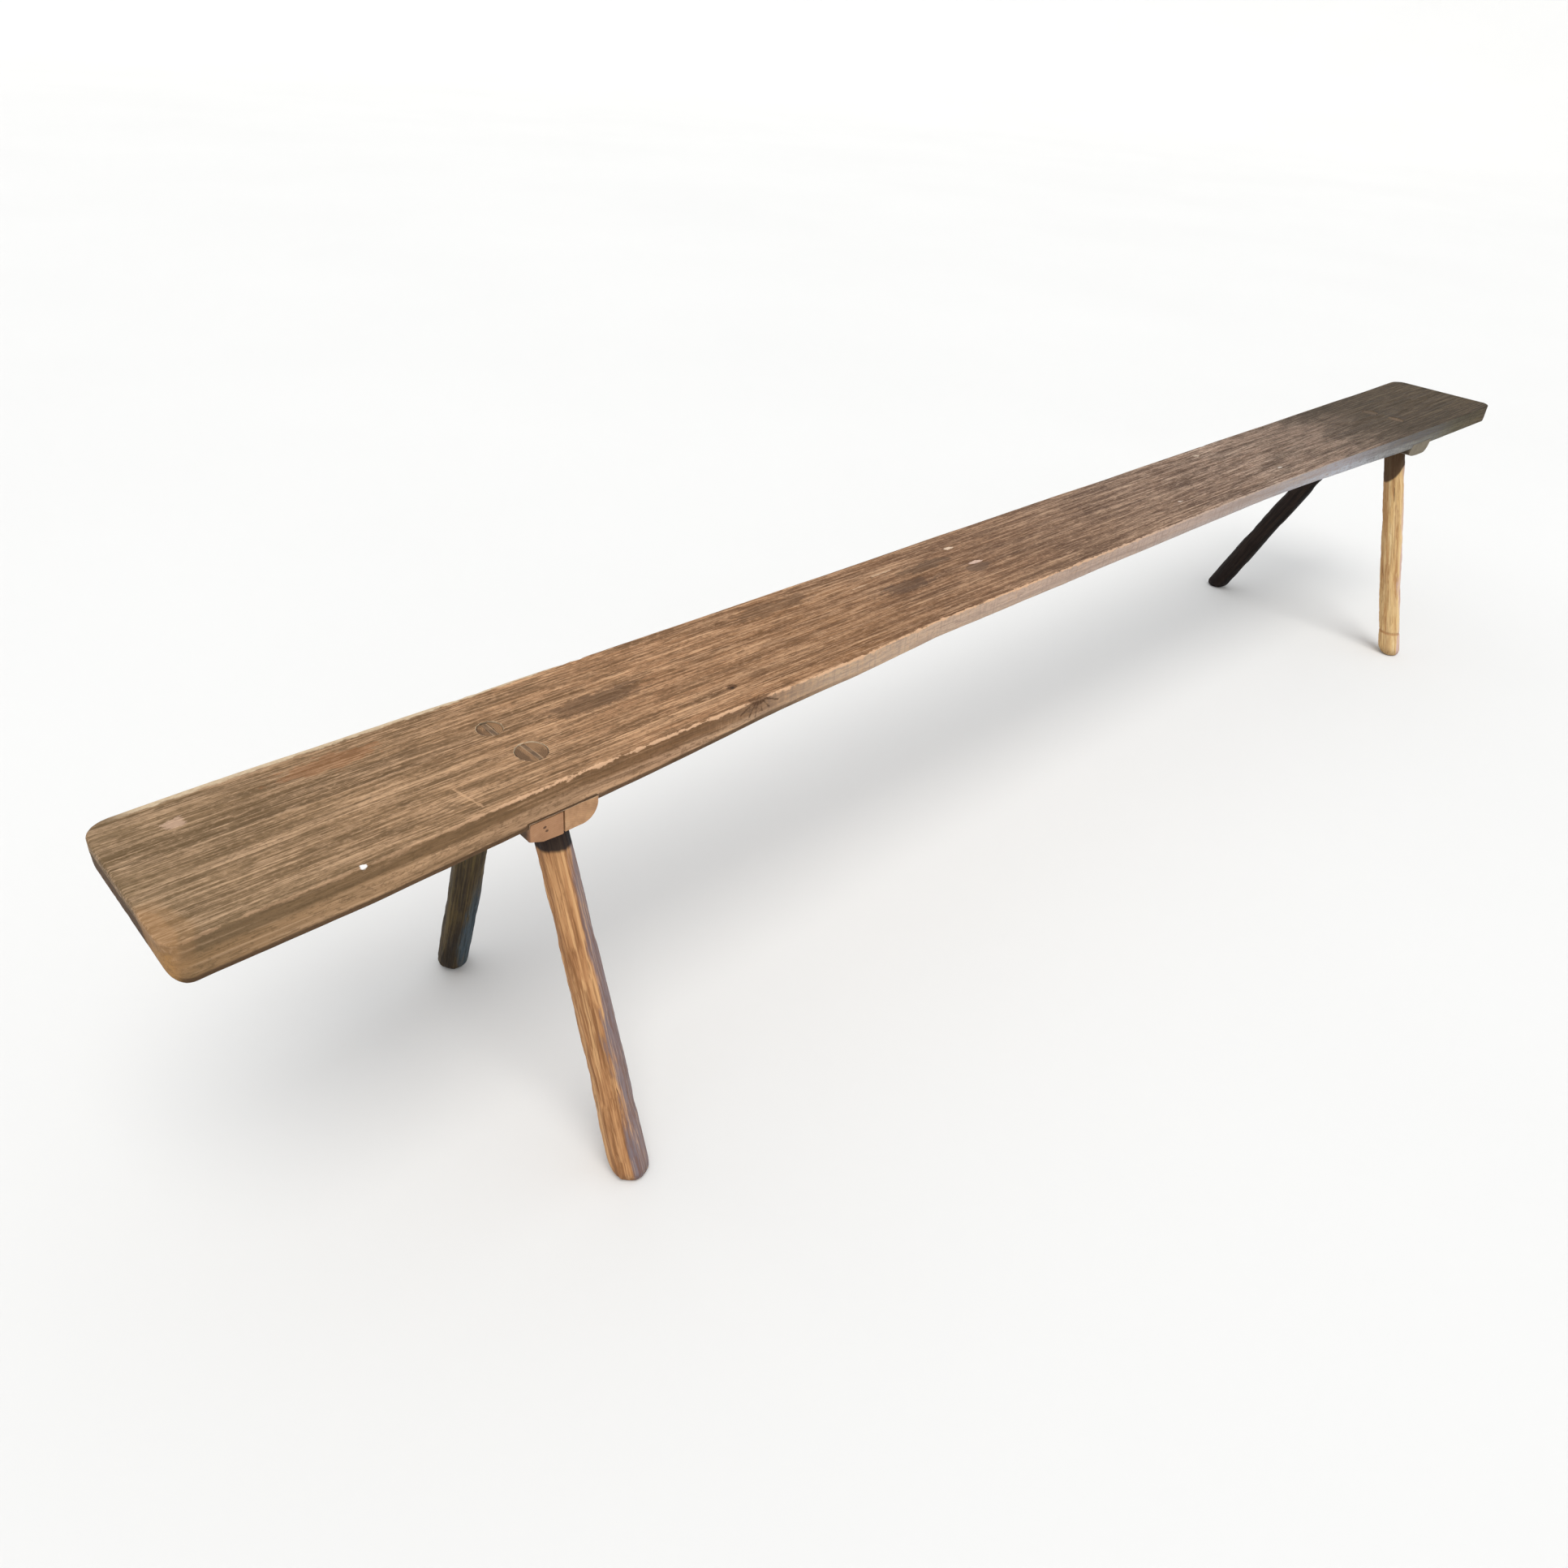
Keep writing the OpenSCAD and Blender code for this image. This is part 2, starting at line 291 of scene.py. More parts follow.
def seat_point(i, j, k):
    """The number of a skin point: i along the plank, j from front to back, k from bottom to top."""
    if (i, j, k) in index:
        return index[i, j, k]
    x = seat_x[i]
    front, back, low, high = seat_front[i], seat_back[i], seat_under[i], seat_upper[i]
    y = rows_y[i][j]
    z = rows_z[i][k]
    from_edge = min(y - front, back - y)
    # Arrises: each long edge is rounded by its own wear, which comes and goes along the plank.
    chipped = max(0.0, wobble(x, 3.0, 0.0, (38, 1, 1))) + max(0.0, wobble(x, 7.0, 0.0, (90, 1, 1))) * 0.6
    worn_left = held((-0.15 - x) / 0.3) * held((x + 1.15) / 0.2)
    rounds = {
        (0, 1): 0.0016 + 0.0008 * wobble(x, 0, 1, (6, 1, 1)) + 0.0018 * chipped * worn_left,
        (1, 1): 0.0030 + 0.0010 * wobble(x, 9, 1, (5, 1, 1)) + 0.0020 * held((-0.7 - x) / 0.3),
        (0, 0): 0.0022 + 0.0008 * wobble(x, 5, 1, (8, 1, 1)),
        (1, 0): 0.0025 + 0.0008 * wobble(x, 6, 1, (8, 1, 1)),
    }
    is_back = int(y > (front + back) / 2)
    is_top = int(z > (low + high) / 2)
    r = max(0.0006, rounds[is_back, is_top])
    cy = min(max(y, front + r), back - r)
    cz = min(max(z, low + r), high - r)
    dy, dz = y - cy, z - cz
    if dy and dz:
        length = math.hypot(dy, dz)
        y, z = cy + dy / length * r, cz + dz / length * r
    # Every face is worn or hewn inwards, so the plank never grows past its own size. Each inset
    # fades out round the arrises, over the share of the skin that is near its face.
    from_end = seat_half - abs(x)
    near_end = min(1.0, from_end / 0.02)
    near_top = max(0.0, 1 - (high - z) / 0.010)
    near_under = max(0.0, 1 - (z - low) / 0.010)
    near_front = max(0.0, 1 - (y - front) / 0.012)
    near_back = max(0.0, 1 - (back - y) / 0.012)
    hollow = 0.0004 + 0.0008 * wobble(x, y, 0, (2.2, 14, 1)) + 0.0003 * wobble(x, y, 4, (14, 60, 1))
    hollow = max(0.0, hollow) * near_end
    for kx, ky, size in knots:
        apart = math.hypot((x - kx) / 1.7, y - ky)
        hollow += 0.0012 * math.exp(-((apart / (size * 0.7)) ** 2))
        hollow -= 0.0004 * math.exp(-(((apart - size * 1.2) / (size * 0.4)) ** 2))
    adze = abs(math.sin(x * 47 + 3.0 * wobble(x, y, 2, (3, 9, 1)) + 4.0 * wobble(x, y, 6, (0.8, 5, 1))))
    hewn = (0.0012 * adze + 0.0008 * abs(wobble(x, y, 0, (9, 24, 1)))) * near_end
    hewn *= 0.15 + 0.85 * min(1.0, from_edge / 0.04)
    insets = [0.0006 + 0.0010 * wobble(x, row, z, (7, 1, 40)) + 0.0005 * abs(wobble(x, row, z, (45, 1, 30)))
              for row in (0, 8)]
    z += hewn * near_under - max(0.0, hollow) * near_top
    y += max(0.0, insets[0]) * near_front - max(0.0, insets[1]) * near_back
    end_inset = (0.0004 + 0.0005 * abs(wobble(0, y, z, (1, 60, 90)))) * max(0.0, 1 - from_end / 0.012)
    x -= math.copysign(end_inset, x)
    # Bites out of the back arris, where something hard was set down on it.
    for bite_x, bite in bites:
        close = math.exp(-(((x - bite_x) / 0.006) ** 2)) * math.exp(-(max(0.0, back - y) / 0.004) ** 2)
        if z > high - 0.012:
            y -= bite * close
            z -= bite * 0.4 * close
    index[i, j, k] = len(seat_points)
    seat_points.append((x, y, z))
    on_top = k == count_z - 1
    front_run.append(y - front if on_top else -(high - z) if j < count_y / 2 else 0.1 + high - z)
    under_run.append(z - low)
    back_run.append(back - y if on_top else -(high - z) if j > count_y / 2 else 0.1 + high - z)
    return index[i, j, k]


rows_y = [spread(f, b, edge_run, across_steps) for f, b in zip(seat_front, seat_back)]
rows_z = [spread(l, u, side_run, down_steps) for l, u in zip(seat_under, seat_upper)]
last_i, last_j, last_k = len(seat_x) - 1, count_y - 1, count_z - 1
seat_faces = []


def seat_face(*corners):
    seat_faces.append([seat_point(*corner) for corner in corners])


for i in range(last_i):
    for j in range(last_j):
        seat_face((i, j, last_k), (i + 1, j, last_k), (i + 1, j + 1, last_k), (i, j + 1, last_k))
        seat_face((i, j, 0), (i, j + 1, 0), (i + 1, j + 1, 0), (i + 1, j, 0))
    for k in range(last_k):
        seat_face((i, 0, k), (i + 1, 0, k), (i + 1, 0, k + 1), (i, 0, k + 1))
        seat_face((i, last_j, k), (i, last_j, k + 1), (i + 1, last_j, k + 1), (i + 1, last_j, k))
for j in range(last_j):
    for k in range(last_k):
        seat_face((0, j, k), (0, j, k + 1), (0, j + 1, k + 1), (0, j + 1, k))
        seat_face((last_i, j, k), (last_i, j + 1, k), (last_i, j + 1, k + 1), (last_i, j, k + 1))
seat = mesh_piece("seat", seat_points, seat_faces)
for name, values in (("front_run", front_run), ("back_run", back_run), ("under_run", under_run)):
    layer = seat.data.attributes.new(name, "FLOAT", "POINT")
    layer.data.foreach_set("value", np.array(values, np.float32))


def batten_outline(side, gap, count=20):
    """A batten's section as top, right, bottom and left lines of points, all count long."""
    low, high = batten_boxes[side]
    centre = (low.x + high.x) / 2
    w = (high.x - low.x) / 2
    t = high.z - low.z
    flare = {"left": 0.0035, "right": 0.009}[side]
    r = 0.020
    steps = np.linspace(0, 1, count)
    top = [(-w + flare - gap + (2 * w - flare + 2 * gap) * s, 0.0) for s in steps]
    right = []
    for s in steps:
        turn = (s - 0.5) * math.pi / 2
        right.append((w + gap, -(t - r) * s * 2) if s < 0.5 else
                     (w + gap - r * (1 - math.cos(turn)), -(t - r) - r * math.sin(turn)))
    bottom_right = right[-1]
    bevel = (-0.6 * w - gap, -0.94 * t)
    left = [(-w + flare * (1 - s / 0.6) - gap, -0.7 * t * s / 0.6) if s < 0.6 else
            (-w - gap + 0.4 * w * (s - 0.6) / 0.4, -t * (0.7 + 0.24 * (s - 0.6) / 0.4)) for s in steps]
    bottom = []
    for s in steps:
        # The line runs from the bevel, along the bottom and round up to the side.
        x = bevel[0] + (bottom_right[0] - bevel[0]) * s
        edge = w + gap - r
        if x > edge:
            z = -t + r - math.sqrt(max(0.0, r * r - (x - edge) ** 2))
        else:
            z = max(-t, bevel[1] - 0.06 * t * (x - bevel[0]) / (0.6 * w))
        bottom.append((x, z))
    base = high.z
    return [[(centre + x, base + z) for x, z in line] for line in (top, right, bottom, left)]


def batten_block(name, side, gap, rows, front_y, back_y):
    """A batten or its housing as a closed block of rows along Y; front_y and back_y are functions of x."""
    top, right, bottom, left = batten_outline(side, gap)
    n = len(top)
    grid = {}
    for a in range(n):
        for b in range(n):
            s, t = a / (n - 1), b / (n - 1)
            grid[a, b] = (
                (1 - t) * np.array(top[a]) + t * np.array(bottom[a])
                + (1 - s) * np.array(left[b]) + s * np.array(right[b])
                - (1 - s) * (1 - t) * np.array(top[0]) - s * (1 - t) * np.array(top[-1])
                - (1 - s) * t * np.array(left[-1]) - s * t * np.array(right[-1])
            )
    points, faces, number = [], [], {}

    def point(a, b, c):
        if (a, b, c) not in number:
            x, z = grid[a, b]
            share = c / rows
            number[a, b, c] = len(points)
            points.append((x, front_y(x) * (1 - share) + back_y(x) * share, z))
        return number[a, b, c]

    def face(*corners):
        faces.append([point(*corner) for corner in corners])

    m = n - 1
    for c in range(rows):
        for a in range(m):
            face((a, 0, c), (a + 1, 0, c), (a + 1, 0, c + 1), (a, 0, c + 1))
            face((a, m, c), (a, m, c + 1), (a + 1, m, c + 1), (a + 1, m, c))
            face((0, a, c), (0, a, c + 1), (0, a + 1, c + 1), (0, a + 1, c))
            face((m, a, c), (m, a + 1, c), (m, a + 1, c + 1), (m, a, c + 1))
    for a in range(m):
        for b in range(m):
            face((a, b, 0), (a, b + 1, 0), (a + 1, b + 1, 0), (a + 1, b, 0))
            face((a, b, rows), (a + 1, b, rows), (a + 1, b + 1, rows), (a, b + 1, rows))
    return mesh_piece(name, points, faces)


def bore_tool(corner, spare):
    """The slanted bore round a leg's tenon, a little ragged, as a solid to cut with."""
    foot, tenon = (Vector(legs[corner]["rings"][r][0]) for r in ("foot", "tenon"))
    radius = legs[corner]["rings"]["tenon"][1]
    slope = (tenon - foot) / (tenon.z - foot.z)
    tilt = Vector((slope.x, slope.y, 0.0))
    stretch = math.hypot(1.0, tilt.length) - 1
    tilt.normalize()
    around, heights = 72, np.linspace(neck_z - 0.03, seat_top + 0.03, 40)
    points, faces = [], []
    for z in heights:
        for step in range(around):
            angle = 2 * math.pi * step / around
            way = Vector((math.cos(angle), math.sin(angle), 0.0))
            rag = 0.6 + 0.7 * wobble(way.x * 2, way.y * 2, z, (1.6, 1.6, 30))
            rag += 0.4 * wobble(way.x, way.y, z, (7, 7, 60))
            out = way * (radius + spare * max(0.25, rag))
            out += tilt * out.dot(tilt) * stretch
            points.append(foot + slope * (z - foot.z) + out)
    rows = len(heights)
    for row in range(rows - 1):
        for step in range(around):
            a, b = row * around + step, row * around + (step + 1) % around
            faces.append((a, b, b + around, a + around))
    faces.append(tuple(reversed(range(around))))
    faces.append(tuple(range((rows - 1) * around, rows * around)))
    return mesh_piece("bore_" + corner, points, faces)


def carve(piece, tools):
    """Cuts the tools out of a piece and leaves it a plain mesh."""
    for tool in tools:
        finish_mesh(tool)
        cut = piece.modifiers.new("cut", "BOOLEAN")
        cut.operation = "DIFFERENCE"
        cut.solver = "MANIFOLD"
        cut.object = tool
    bpy.context.view_layer.update()
    carved = bpy.data.meshes.new_from_object(piece.evaluated_get(bpy.context.evaluated_depsgraph_get()))
    piece.modifiers.clear()
    piece.data = carved
    for tool in tools:
        bpy.data.objects.remove(tool)


def finish_mesh(piece, sharp=40):
    """Faces outwards, soft shading, and hard creases only where the piece has them."""
    skin = bmesh.new()
    skin.from_mesh(piece.data)
    bmesh.ops.remove_doubles(skin, verts=skin.verts, dist=0.00001)
    bmesh.ops.recalc_face_normals(skin, faces=skin.faces)
    skin.to_mesh(piece.data)
    skin.free()
    piece.data.shade_smooth()
    piece.data.set_sharp_from_angle(angle=math.radians(sharp))


neck_z = batten_boxes["left"][0].z
tools = [
    batten_block("housing_" + side, side, 0.0006, 2, lambda x: -0.2, lambda x: 0.2)
    for side in ("left", "right")
]
bore_gaps = {"front_left": 0.0013, "back_left": 0.0009, "front_right": 0.0008, "back_right": 0.0008}
tools += [bore_tool(corner, gap) for corner, gap in bore_gaps.items()]
carve(seat, tools)
finish_mesh(seat)


def parts_of(paint, vector):
    """The x, y and z of a vector."""
    return [paint.make("ShaderNodeSeparateXYZ", {}, {0: vector}, n) for n in range(3)]


def stretched(paint, vector, sizes, shift=(0.0, 0.0, 0.0)):
    """A vector multiplied by sizes and moved, for a pattern that is longer one way than another."""
    scaled = paint.vector("MULTIPLY", vector, sizes)
    return paint.vector("ADD", scaled, shift)


def cloudy(paint, vector, sizes, detail=2.0, rough=0.5, shift=(0.0, 0.0, 0.0)):
    """Noise from 0 to 1, with sizes in cells per metre along each axis."""
    place = stretched(paint, vector, sizes, shift)
    return paint.make("ShaderNodeTexNoise", {},
                      {"Vector": place, "Scale": 1.0, "Detail": detail, "Roughness": rough})


def rise(paint, value, low, high):
    """0 below low, 1 above high, and a soft step between; low may be the larger."""
    return paint.make("ShaderNodeMapRange", {"interpolation_type": "SMOOTHSTEP"},
                      {0: value, 1: low, 2: high, 3: 0.0, 4: 1.0})


def over(paint, share, under, cover):
    """The colour cover laid over the colour under, by share."""
    return paint.make("ShaderNodeMix", {"data_type": "RGBA"}, {0: share, 6: under, 7: cover}, 2)


def coats(paint, colour, layers):
    """Thin coats laid over a colour one by one: pattern, where it starts and is full, strength, cover."""
    for pattern, low, high, strength, cover in layers:
        colour = over(paint, rise(paint, pattern, low, high) * strength, colour, cover)
    return colour


def along(paint, x, stops):
    """A colour that changes along the bench; stops are x, red, green and blue."""
    half = 1.4
    ramp = [((at + half) / (2 * half), tone(*colour)) for at, *colour in stops]
    return paint.make("ShaderNodeValToRGB", {"stops": ramp}, {0: (x + half) / (2 * half)})


def fleck(paint, vector, centre, size, ragged):
    """1 inside a ragged oval round centre, 0 outside."""
    moved = paint.vector("SUBTRACT", vector, centre)
    shaped = paint.vector("MULTIPLY", moved, tuple(1 / s if s else 0.0 for s in size))
    far = paint.vector("LENGTH", shaped, output="Value")
    return rise(paint, far + (ragged - 0.5) * 1.4, 1.1, 0.75)


def scratch(paint, vector, start, end, width, ragged):
    """1 on a ragged line from start to end, 0 off it."""
    start, end = Vector(start), Vector(end)
    run = end - start
    from_start = paint.vector("SUBTRACT", vector, start)
    share = paint.vector("DOT_PRODUCT", from_start, run / run.length_squared, output="Value")
    share = paint.math("MINIMUM", paint.math("MAXIMUM", share, 0.0), 1.0)
    on_line = paint.vector("SCALE", run, share)
    off = paint.vector("SUBTRACT", from_start, on_line)
    far = paint.vector("LENGTH", off, output="Value")
    return rise(paint, far / width + (ragged - 0.5) * 1.8, 1.0, 0.4)


seat_wood, paint, shader = new_material("seat_wood")
place = paint.make("ShaderNodeTexCoord", {}, {}, "Object")
x, y, z = parts_of(paint, place)
front, back, under = (paint.make("ShaderNodeAttribute", {"attribute_name": name}, {}, "Fac")
                      for name in ("front_run", "back_run", "under_run"))
is_front = rise(paint, front, 0.0002, -0.0016)

# Growth rings about a pith that lies below the plank and drifts along it, bent round the knots.
bend = cloudy(paint, place, (1.3, 7.0, 7.0), 2.0)
pith_y = y - 0.012 + (x * 0.018) + (bend - 0.5) * 0.030
pith_z = z - (seat_top - 0.085) + x * 0.012
radius = paint.math("SQRT", pith_y * pith_y + pith_z * pith_z)
swirl = 0.0
for kx, ky, size in knots:
    from_knot = stretched(paint, place, (1 / 3.2, 1.0, 0.35), (-kx / 3.2, -ky, -seat_top * 0.35))
    apart = paint.vector("LENGTH", from_knot, output="Value")
    swirl = paint.math("EXPONENT", (apart * apart) * (-1 / (size * 1.3) ** 2)) * (size * 1.25) + swirl
ring = paint.math("FRACT", (radius + swirl) * 260.0 + cloudy(paint, place, (9.0, 60.0, 60.0), 2.0) * 1.6)
late = rise(paint, ring, 0.35, 0.88) * rise(paint, ring, 1.0, 0.93)
fibre = cloudy(paint, place, (14.0, 560.0, 560.0), 3.0, 0.6)
coarse_fibre = cloudy(paint, place, (5.0, 210.0, 210.0), 4.0, 0.65)
streak = cloudy(paint, place, (3.2, 62.0, 62.0), 4.0, 0.62, (5.0, 1.0, 0.0))
long_streak = cloudy(paint, place, (2.1, 34.0, 34.0), 2.0, 0.5, (1.0, 9.0, 0.0))
dash = cloudy(paint, place, (46.0, 330.0, 330.0), 2.0, 0.55, (3.0, 0.0, 7.0))
speck = cloudy(paint, place, (170.0, 330.0, 330.0), 2.0, 0.7)
patch = cloudy(paint, place, (5.2, 17.0, 17.0), 5.0, 0.62, (11.0, 2.0, 0.0))
small_patch = cloudy(paint, place, (19.0, 62.0, 62.0), 5.0, 0.66, (0.0, 5.0, 0.0))

# The top goes from a yellowish brown at the left end, through a warm brown, to a cold dark brown.
drift = x + (patch - 0.5) * 0.3
top_colour = along(paint, drift, (
    (-1.40, 148, 122, 92), (-1.15, 160, 126, 92), (-0.90, 170, 126, 90), (-0.60, 149, 109, 74),
    (-0.30, 137, 102, 75), (0.05, 127, 100, 79), (0.50, 149, 122, 103), (0.80, 147, 124, 108),
    (0.98, 80, 66, 52), (1.12, 72, 59, 45), (1.40, 80, 66, 48),
))
dirt_colour = along(paint, x, (
    (-1.40, 98, 78, 52), (-0.60, 96, 66, 42), (0.10, 80, 58, 45), (1.00, 58, 48, 36), (1.40, 56, 46, 34),
))
bright_colour = along(paint, x, (
    (-1.40, 200, 167, 134), (-0.90, 214, 170, 130), (-0.20, 192, 156, 124), (0.50, 196, 172, 152),
    (1.00, 102, 87, 70), (1.40, 106, 90, 68),
))
far_left = rise(paint, x, -1.0, -1.25)
colour = coats(paint, top_colour, (
    (patch, 0.50, 0.60, 0.62, dirt_colour),
    (long_streak, 0.52, 0.62, 0.25 + 0.45 * far_left, dirt_colour),
    (streak, 0.52, 0.64, 0.50, dirt_colour),
    (streak, 0.47, 0.36, 0.42, bright_colour),
    (small_patch, 0.52, 0.62, 0.42, dirt_colour),
    (small_patch, 0.46, 0.36, 0.30, bright_colour),
    (coarse_fibre, 0.51, 0.62, 0.55, dirt_colour),
    (coarse_fibre, 0.47, 0.36, 0.50, bright_colour),
))
top_paint = coats(paint, over(paint, late * 0.20, colour, dirt_colour), (
    (dash, 0.58, 0.68, 0.70, dirt_colour),
    (dash, 0.40, 0.30, 0.55, bright_colour),
    (speck, 0.52, 0.64, 0.42, dirt_colour),
    (speck, 0.46, 0.34, 0.25, bright_colour),
    (fibre, 0.48, 0.60, 0.50, dirt_colour),
    (fibre, 0.46, 0.36, 0.40, bright_colour),
))

# The front edge: a dark upper band and a paler hewn lower one at the left, with painted shade on
# the lower arris there. It is pale and bare in the middle and weathered to a cold grey towards the right,
# and there its paler, bluer tone than the top's is partly that wood and partly painted light.
band = rise(paint, front * -1.0 + (small_patch - 0.5) * 0.014, 0.021, 0.014)
upper_side_and_light = along(paint, x, (
    (-1.40, 122, 99, 72), (-1.20, 128, 100, 70), (-0.90, 128, 94, 64), (-0.78, 146, 112, 82),
    (-0.66, 198, 170, 141), (-0.30, 200, 173, 154), (0.20, 182, 162, 152), (0.50, 166, 158, 157),
    (0.70, 158, 158, 166), (0.85, 134, 130, 128), (0.98, 100, 95, 89), (1.20, 84, 78, 62), (1.40, 78, 66, 46),
))
lower_side_and_light = along(paint, x, (
    (-1.40, 140, 110, 76), (-1.20, 176, 141, 106), (-0.90, 186, 148, 116), (-0.72, 198, 166, 134),
    (-0.50, 195, 167, 141), (-0.10, 184, 164, 152), (0.20, 179, 166, 160), (0.50, 175, 177, 185),
    (0.72, 178, 184, 194), (0.88, 152, 152, 150), (1.05, 122, 120, 110), (1.22, 100, 95, 74),
    (1.40, 96, 80, 56),
))
bare_and_lit_middle = rise(paint, x, -0.85, -0.65) * rise(paint, x, 0.9, 0.6)
side_dirt = over(paint, rise(paint, x, 0.0, 0.6), dirt_colour, tone(96, 94, 98))
side_dirt = over(paint, bare_and_lit_middle * 0.62, side_dirt, tone(182, 160, 146))
side_dirt = over(paint, rise(paint, x, 1.05, 1.25), side_dirt, dirt_colour)
mark = cloudy(paint, place, (210.0, 210.0, 20.0), 3.0, 0.6)
hewn_marks = rise(paint, x, -0.95, -0.7)
# Painted shade: a dark band along the rounded lower front arris at the left.
lower_arris_shade = rise(paint, under + (small_patch - 0.5) * 0.004, 0.0078, 0.0050)
side_wood_light_and_shade = coats(paint, over(paint, band, lower_side_and_light, upper_side_and_light), (
    (mark, 0.52, 0.66, hewn_marks * 0.45, side_dirt),
    (mark, 0.46, 0.34, hewn_marks * 0.35, bright_colour),
    (coarse_fibre, 0.51, 0.62, 0.48, side_dirt),
    (coarse_fibre, 0.46, 0.36, 0.35, bright_colour),
    (dash, 0.57, 0.66, 0.50, side_dirt),
    (small_patch, 0.54, 0.66, 0.30, side_dirt),
    (patch, 0.53, 0.66, 0.22, side_dirt),
    (fibre, 0.46, 0.62, 0.30, side_dirt),
    (speck, 0.52, 0.64, 0.42, side_dirt),
    (x, -0.55, -0.80, lower_arris_shade * 0.85, tone(74, 53, 34)),
))
paint_all = over(paint, is_front, top_paint, side_wood_light_and_shade)

# The ends: dark open end grain, darkened partly as painted shade, that turns to ochre round the lower front
# corner.
end_near = rise(paint, paint.math("ABSOLUTE", x), seat_half - 0.010, seat_half - 0.003)
end_grain_and_shade = end_near * rise(paint, z, seat_top - 0.0080, seat_top - 0.0130)
ochre = rise(paint, y + (small_patch - 0.5) * 0.06, -0.050, -0.088)
seat_end_and_shade = over(paint, ochre, tone(80, 54, 30), tone(150, 114, 66))
seat_end_and_shade = coats(paint, seat_end_and_shade, ((speck, 0.46, 0.62, 0.5, tone(52, 40, 28)),))
paint_all = over(paint, end_grain_and_shade * 0.92, paint_all, seat_end_and_shade)

# Wear and painted highlight: a bright ragged front arris, partly worn wood and partly painted highlight,
# and a pale band along the back arris that narrows to the right.
ragged = cloudy(paint, place, (42.0, 90.0, 90.0), 4.0, 0.7)
chips = cloudy(paint, place, (85.0, 160.0, 160.0), 3.0, 0.7, (2.0, 4.0, 0.0))
front_far = paint.math("ABSOLUTE", front - 0.0002) / 0.0030
front_wear_and_highlight = rise(paint, front_far + (ragged - 0.5) * 2.6 + (chips - 0.5) * 3.4, 1.0, 0.5)
front_wear_and_highlight = front_wear_and_highlight * rise(paint, x, 0.75, 0.2) * (0.30 + 0.70 * rise(paint, x, -1.20, -1.02))
arris_wear_and_highlight = over(paint, rise(paint, x, -0.3, 0.3), tone(220, 178, 142), tone(192, 168, 152))
paint_all = over(paint, front_wear_and_highlight * 0.85, paint_all, arris_wear_and_highlight)
band_width = 0.0034 + 0.0068 * rise(paint, x, -0.78, -1.12)
back_far = paint.math("ABSOLUTE", back) / band_width
back_wear = rise(paint, back_far + (ragged - 0.5) * 0.9 + (chips - 0.5) * 0.6, 1.05, 0.75)
back_wear = back_wear * (0.40 + 0.60 * rise(paint, x, -0.75, -1.0))
back_wear = back_wear * rise(paint, x, 1.3, 0.9) * rise(paint, x, -1.386, -1.345)
back_colour = over(paint, rise(paint, speck, 0.42, 0.6) * 0.4, tone(206, 184, 154), tone(170, 146, 116))
paint_all = over(paint, back_wear * 0.95, paint_all, back_colour)

# Marks that years of use have left on the top.
broken = ragged + (chips - 0.5) * 1.6
flecks = [  # the middle's x and y, the reach along, across and down, the strength, and the colour
    (broken, -1.335, 0.050, 0.010, 0.008, 0.02, 0.50, (212, 178, 154)),
    (broken, -0.276, 0.055, 0.010, 0.0035, 0.02, 0.9, (220, 194, 168)),
    (broken, -0.280, 0.001, 0.011, 0.004, 0.02, 0.85, (214, 184, 166)),
    (broken, -0.292, -0.012, 0.022, 0.010, 0.02, 0.6, (92, 72, 58)),
    (broken, -0.922, 0.006, 0.060, 0.018, 0.02, 0.6, (92, 68, 48)),
    (broken, -0.350, 0.034, 0.055, 0.012, 0.02, 0.6, (84, 64, 48)),
    (broken, -0.420, 0.003, 0.050, 0.014, 0.02, 0.6, (84, 64, 50)),
    (broken, -0.62, 0.060, 0.070, 0.016, 0.02, 0.5, (92, 68, 48)),
    (broken, -1.190, 0.060, 0.050, 0.014, 0.02, 0.34, (150, 96, 58)),
    (patch, -1.396, -0.085, 0.026, 0.040, 0.05, 0.20, (184, 138, 92)),
    (patch, -1.398, -0.085, 0.014, 0.034, 0.05, 0.24, (184, 138, 92)),
    (broken, 1.087, -0.032, 0.022, 0.022, 0.02, 0.6, (66, 56, 46)),
    (broken, 0.447, 0.071, 0.007, 0.003, 0.02, 0.7, (206, 190, 170)),
    (broken, 0.204, -0.038, 0.006, 0.003, 0.02, 0.7, (206, 190, 176)),
    (broken, 0.527, -0.051, 0.007, 0.003, 0.02, 0.7, (200, 188, 176)),
    (broken, -1.236, -0.1035, 0.0042, 0.0034, 0.004, 1.0, (246, 243, 238)),
]
scratches = [  # from x and y to x and y, on the top; the width, the strength, and the colour
    (broken, -1.121, -0.050, -1.114, -0.090, 0.0019, 0.42, (216, 174, 134)),
    (broken, -1.121, -0.049, -1.094, -0.046, 0.0017, 0.34, (216, 174, 134)),
    (broken, -0.44, 0.051, -0.40, 0.052, 0.0020, 0.6, (206, 176, 146)),
    (broken, -0.49, 0.038, -0.45, 0.040, 0.0020, 0.55, (202, 170, 140)),
    (ragged, -1.300, -0.1045, -1.250, -0.1045, 0.0012, 0.75, (66, 46, 32)),
]
for kx, ky, size in knots:
    flecks.append((broken, kx, ky, size * 1.7, size * 1.0, 0.012, 0.75, (84, 58, 38)))
    flecks.append((ragged, kx, ky, size * 0.6, size * 0.35, 0.008, 0.85, (40, 28, 20)))
marks = [(fleck(paint, place, (mx, my, seat_top), reach, pattern), strength, colour)
         for pattern, mx, my, *reach, strength, colour in flecks]
marks += [(scratch(paint, place, (x0, y0, seat_top), (x1, y1, seat_top), width, pattern), strength, colour)
          for pattern, x0, y0, x1, y1, width, strength, colour in scratches]
